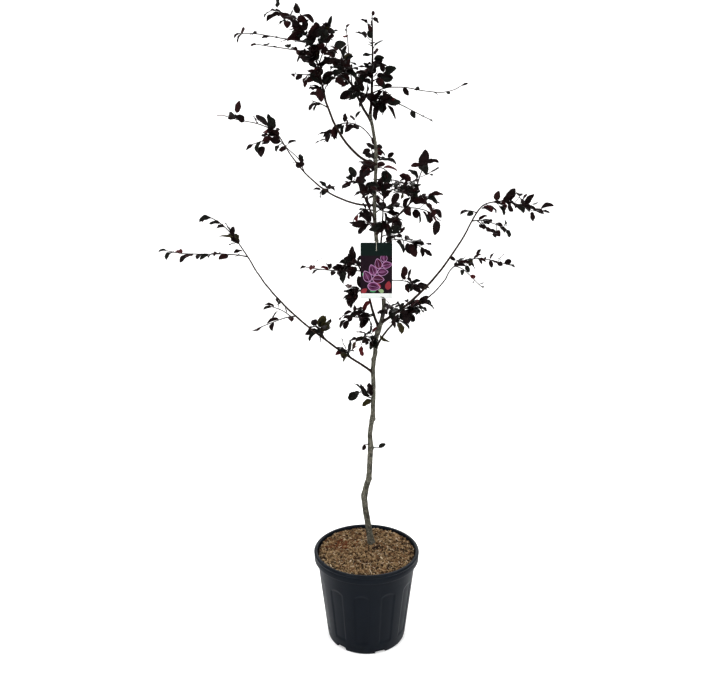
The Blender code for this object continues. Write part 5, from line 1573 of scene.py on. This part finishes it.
def satin(name, colour, roughness=0.32):
    """A printed or plastic surface: near one colour, with a faint grain and uneven gloss."""
    graph = Graph(name, Specular_IOR_Level=0.12)
    grain = graph.cloud((260, 260, 260), 3.0)
    tone = graph.colours(grain, tuple(c * 0.93 for c in colour), tuple(min(c * 1.07, 1) for c in colour))
    return graph.feed(Base_Color=tone, Roughness=roughness + grain * 0.1, Normal=graph.bump(grain, 0.00005))


def card_outline(low, high, round_low, round_high):
    """An upright rectangle of the card's width, with rounded corners where asked."""
    half, corner = CARD_HALF - CARD_CORNER, CARD_CORNER
    outline = []
    for x, z, start, is_round in ((1, low, -90, round_low), (1, high, 0, round_high),
                                  (-1, high, 90, round_high), (-1, low, 180, round_low)):
        if is_round:
            inset = corner if z == low else -corner
            outline += arc((TAG_MIDDLE + x * half, z + inset), corner, start, start + 90, CORNER_STEPS)
        else:
            outline.append((TAG_MIDDLE + x * CARD_HALF, z))
    return outline


def add_slab(batch, outline, front, thickness):
    """A flat plate in front of the tree, from an outline of (x, z) points."""
    count = len(outline)
    points = [(x, front, z) for x, z in outline] + [(x, front + thickness, z) for x, z in outline]
    faces = [((k + 1) % count, k, k + count, (k + 1) % count + count) for k in range(count)]
    faces += [tuple(range(count)), tuple(reversed(range(count, 2 * count)))]
    batch.add(points, faces)


def add_holed_slab(batch, outline, front, thickness):
    """The same with a round hole, as two halves that meet on the hole's upright middle line."""
    hole = (TAG_MIDDLE, HOLE_Z)
    top, low = max(z for _, z in outline), min(z for _, z in outline)
    for side in (1, -1):
        edge = [(x, z) for x, z in outline if (x - TAG_MIDDLE) * side > 0]
        start, end, first, last = (low, top, 90, -90) if side > 0 else (top, low, 270, 90)
        rim = arc(hole, HOLE_RADIUS, first, last, HOLE_STEPS)
        half = [(TAG_MIDDLE, start)] + edge + [(TAG_MIDDLE, end)] + rim
        add_slab(batch, half, front, thickness)


def on_picture(outline, x, z, turn):
    """An outline turned and moved to its place on the card, and cut off at the picture's edges."""
    left, right = TAG_MIDDLE - CARD_HALF + PRINT_INSET, TAG_MIDDLE + CARD_HALF - PRINT_INSET
    placed = []
    for along, wide in outline:
        px = x + along * math.cos(turn) - wide * math.sin(turn)
        pz = z + along * math.sin(turn) + wide * math.cos(turn)
        placed.append((min(max(px, left), right), min(max(pz, PICTURE_LOW), PICTURE_HIGH)))
    return placed


def leaf_shape(x, z, length, turn, share=1):
    """A pointed oval on the picture."""
    outline = []
    for k in range(PRINT_LEAF_CORNERS):
        a = 2 * math.pi * k / PRINT_LEAF_CORNERS
        along = length * share / 2 * math.cos(a)
        wide = length * 0.34 * share * math.sin(a) * (1 - 0.25 * math.cos(a)) * abs(math.sin(a)) ** 0.35
        outline.append((along, wide))
    return on_picture(outline, x, z, turn)


def leaf_vein(x, z, length, turn):
    """A thin pale midrib."""
    corners = [(-0.5, -0.0010), (0.5, -0.0002), (0.5, 0.0002), (-0.5, 0.0010)]
    return on_picture([(length * share, wide) for share, wide in corners], x, z, turn)


def tag_piece(batch, name, finish):
    batch.piece(name, finish, "tag_card", "hang_tag", sharp=30)


def add_tag():
    """The card, its dark band and the picture's ground, then the picture itself."""
    whole = card_outline(TAG_TOP - TAG_HEIGHT, TAG_TOP, True, True)
    card, band, picture = Batch(), Batch(), Batch()
    add_holed_slab(card, whole, TAG_FRONT + FILM, TAG_THICKNESS - FILM)
    add_holed_slab(band, card_outline(PICTURE_HIGH, TAG_TOP, False, True), TAG_FRONT, FILM)
    add_slab(picture, card_outline(PICTURE_LOW, PICTURE_HIGH, False, False), TAG_FRONT, FILM)
    tag_piece(card, "card", satin("white card", (0.60, 0.62, 0.61)))
    tag_piece(band, "dark band", satin("dark green print", (0.0040, 0.0125, 0.0105)))
    tag_piece(picture, "picture ground", satin("dark plum print", (0.0130, 0.0050, 0.0105)))
    add_picture()


# %% The picture's foliage
PRINTS = {
    "lilac": (0.340, 0.200, 0.330), "mauve": (0.120, 0.036, 0.095), "plum": (0.055, 0.010, 0.038),
    "wine": (0.060, 0.008, 0.020), "green": (0.035, 0.240, 0.085), "coral": (0.230, 0.035, 0.045),
    "pale green": (0.230, 0.320, 0.180),
}
STEM_LOW, STEM_HIGH = (-0.034, 0.030), (0.030, 0.118)  # from the card's middle and the picture's foot
STEM_LEAVES, LOW_LEAF, LEAF_SHRINKS = 8, 0.050, 0.012  # how many, the lowest's length, the loss by the top
LOW_LEAN, LEAN_LESS = 64, 22  # degrees from the stem to its leaves, and how much less by the top
LAYER = 0.00002  # each new leaf is this much thicker than the one before, so that it shows on top
SMALL_LEAVES = [("green", -0.012, 0.012, 0.026, 200), ("pale green", 0.018, 0.009, 0.022, 160),
                ("coral", 0.045, 0.030, 0.034, 80), ("coral", 0.008, 0.028, 0.024, 120),
                ("green", -0.047, 0.074, 0.018, 60), ("coral", -0.046, 0.010, 0.026, 30)]


def add_picture():
    """A slanting stem with big pale-edged leaves, and small bright ones low down."""
    prints = {kind: Batch() for kind in PRINTS}
    level = 0

    def lay(kind, outline):
        nonlocal level
        level += 1
        add_slab(prints[kind], outline, TAG_FRONT - LAYER * level, LAYER * level)

    for kind, x, z, length, turn in SMALL_LEAVES:
        lay(kind, leaf_shape(TAG_MIDDLE + x, PICTURE_LOW + z, length, math.radians(turn)))
    slant = math.atan2(STEM_HIGH[1] - STEM_LOW[1], STEM_HIGH[0] - STEM_LOW[0])
    for k in range(STEM_LEAVES):
        share, side = k / (STEM_LEAVES - 1), 1 if k % 2 else -1
        length = LOW_LEAF - LEAF_SHRINKS * share
        turn = slant + side * math.radians(LOW_LEAN - LEAN_LESS * share)
        x = TAG_MIDDLE + STEM_LOW[0] + (STEM_HIGH[0] - STEM_LOW[0]) * share + 0.5 * length * math.cos(turn)
        z = PICTURE_LOW + STEM_LOW[1] + (STEM_HIGH[1] - STEM_LOW[1]) * share + 0.5 * length * math.sin(turn)
        lay("lilac", leaf_shape(x, z, length, turn))
        lay(("mauve", "plum", "wine")[k % 3], leaf_shape(x, z, length, turn, 0.86))
        lay(("plum", "mauve", "plum")[k % 3], leaf_shape(x - 0.0015, z + 0.0015, length, turn + 0.1, 0.55))
        lay("lilac", leaf_vein(x, z, length * 0.8, turn))
    for kind, batch in prints.items():
        tag_piece(batch, kind + " print", satin(kind + " print", PRINTS[kind]))


add_tag()

# %% [markdown]
# The tie is a thin pale cord. It goes up from the hole over the card's top edge, round the trunk and
# back. Two strands twisted round each other read as cord where one smooth tube would read as wire.

# %% Tie
TIE_STRAND, TIE_TURN, TIE_STEPS = 0.00052, 0.0045, 26  # a strand's radius, one turn's length, its rings
TIE_HEIGHT, TIE_SLACK = 0.0035, 0.0014  # over the card's top edge, and off the trunk's bark


def tie_route():
    """Places that the cord passes, on a closed loop."""
    height = TAG_TOP + TIE_HEIGHT
    trunk = trunk_point(height)
    trunk += sway(trunk)
    radius = trunk_radius(height) + TIE_SLACK
    front = TAG_FRONT - 0.0011
    middle = TAG_FRONT + TAG_THICKNESS / 2
    route = [(TAG_MIDDLE, middle, HOLE_Z), (TAG_MIDDLE, front - 0.0008, HOLE_Z + 0.004),
             (TAG_MIDDLE, front, TAG_TOP - 0.003), (TAG_MIDDLE - 0.0005, middle, TAG_TOP + 0.0013)]
    for compass in (190, 150, 115, 80, 45, 10, -25):
        a = math.radians(compass)
        lift = 0.002 * (1 + math.sin(a))
        route.append((trunk.x + radius * math.cos(a), trunk.y + radius * math.sin(a), height + lift))
    route.append((TAG_MIDDLE + 0.004, TAG_FRONT + 0.008, TAG_TOP - 0.014))
    return [Vector(place) for place in route]


def add_tie():
    """Two strands that turn round each other along the route."""
    route = tie_route()
    count, points = len(route), []
    for k in range(count):
        corners = [route[(k + shift) % count] for shift in (-1, 0, 1, 2)]
        points += [spline(*corners, j / TIE_STEPS) for j in range(TIE_STEPS)]
    points.append(points[0].copy())
    rings = rings_of(points, 4)
    batch, walked, turns = Batch(), 0, []
    for a, b in zip(points, points[1:] + points[-1:]):
        turns.append(walked)
        walked += (b - a).length / TIE_TURN * 2 * math.pi
    for strand in (0, math.pi):
        path = []
        for point, ring, turn in zip(points, rings, turns):
            out = Vector(ring[0]) * math.cos(turn + strand) + Vector(ring[1]) * math.sin(turn + strand)
            path.append(point + out * TIE_STRAND)
        add_tube(batch, path, [TIE_STRAND] * len(path), 8)
    batch.piece("twisted tie", satin("pale cord", (0.62, 0.60, 0.52), 0.7), "tag_tie", "tag_tie", sharp=60)


add_tie()
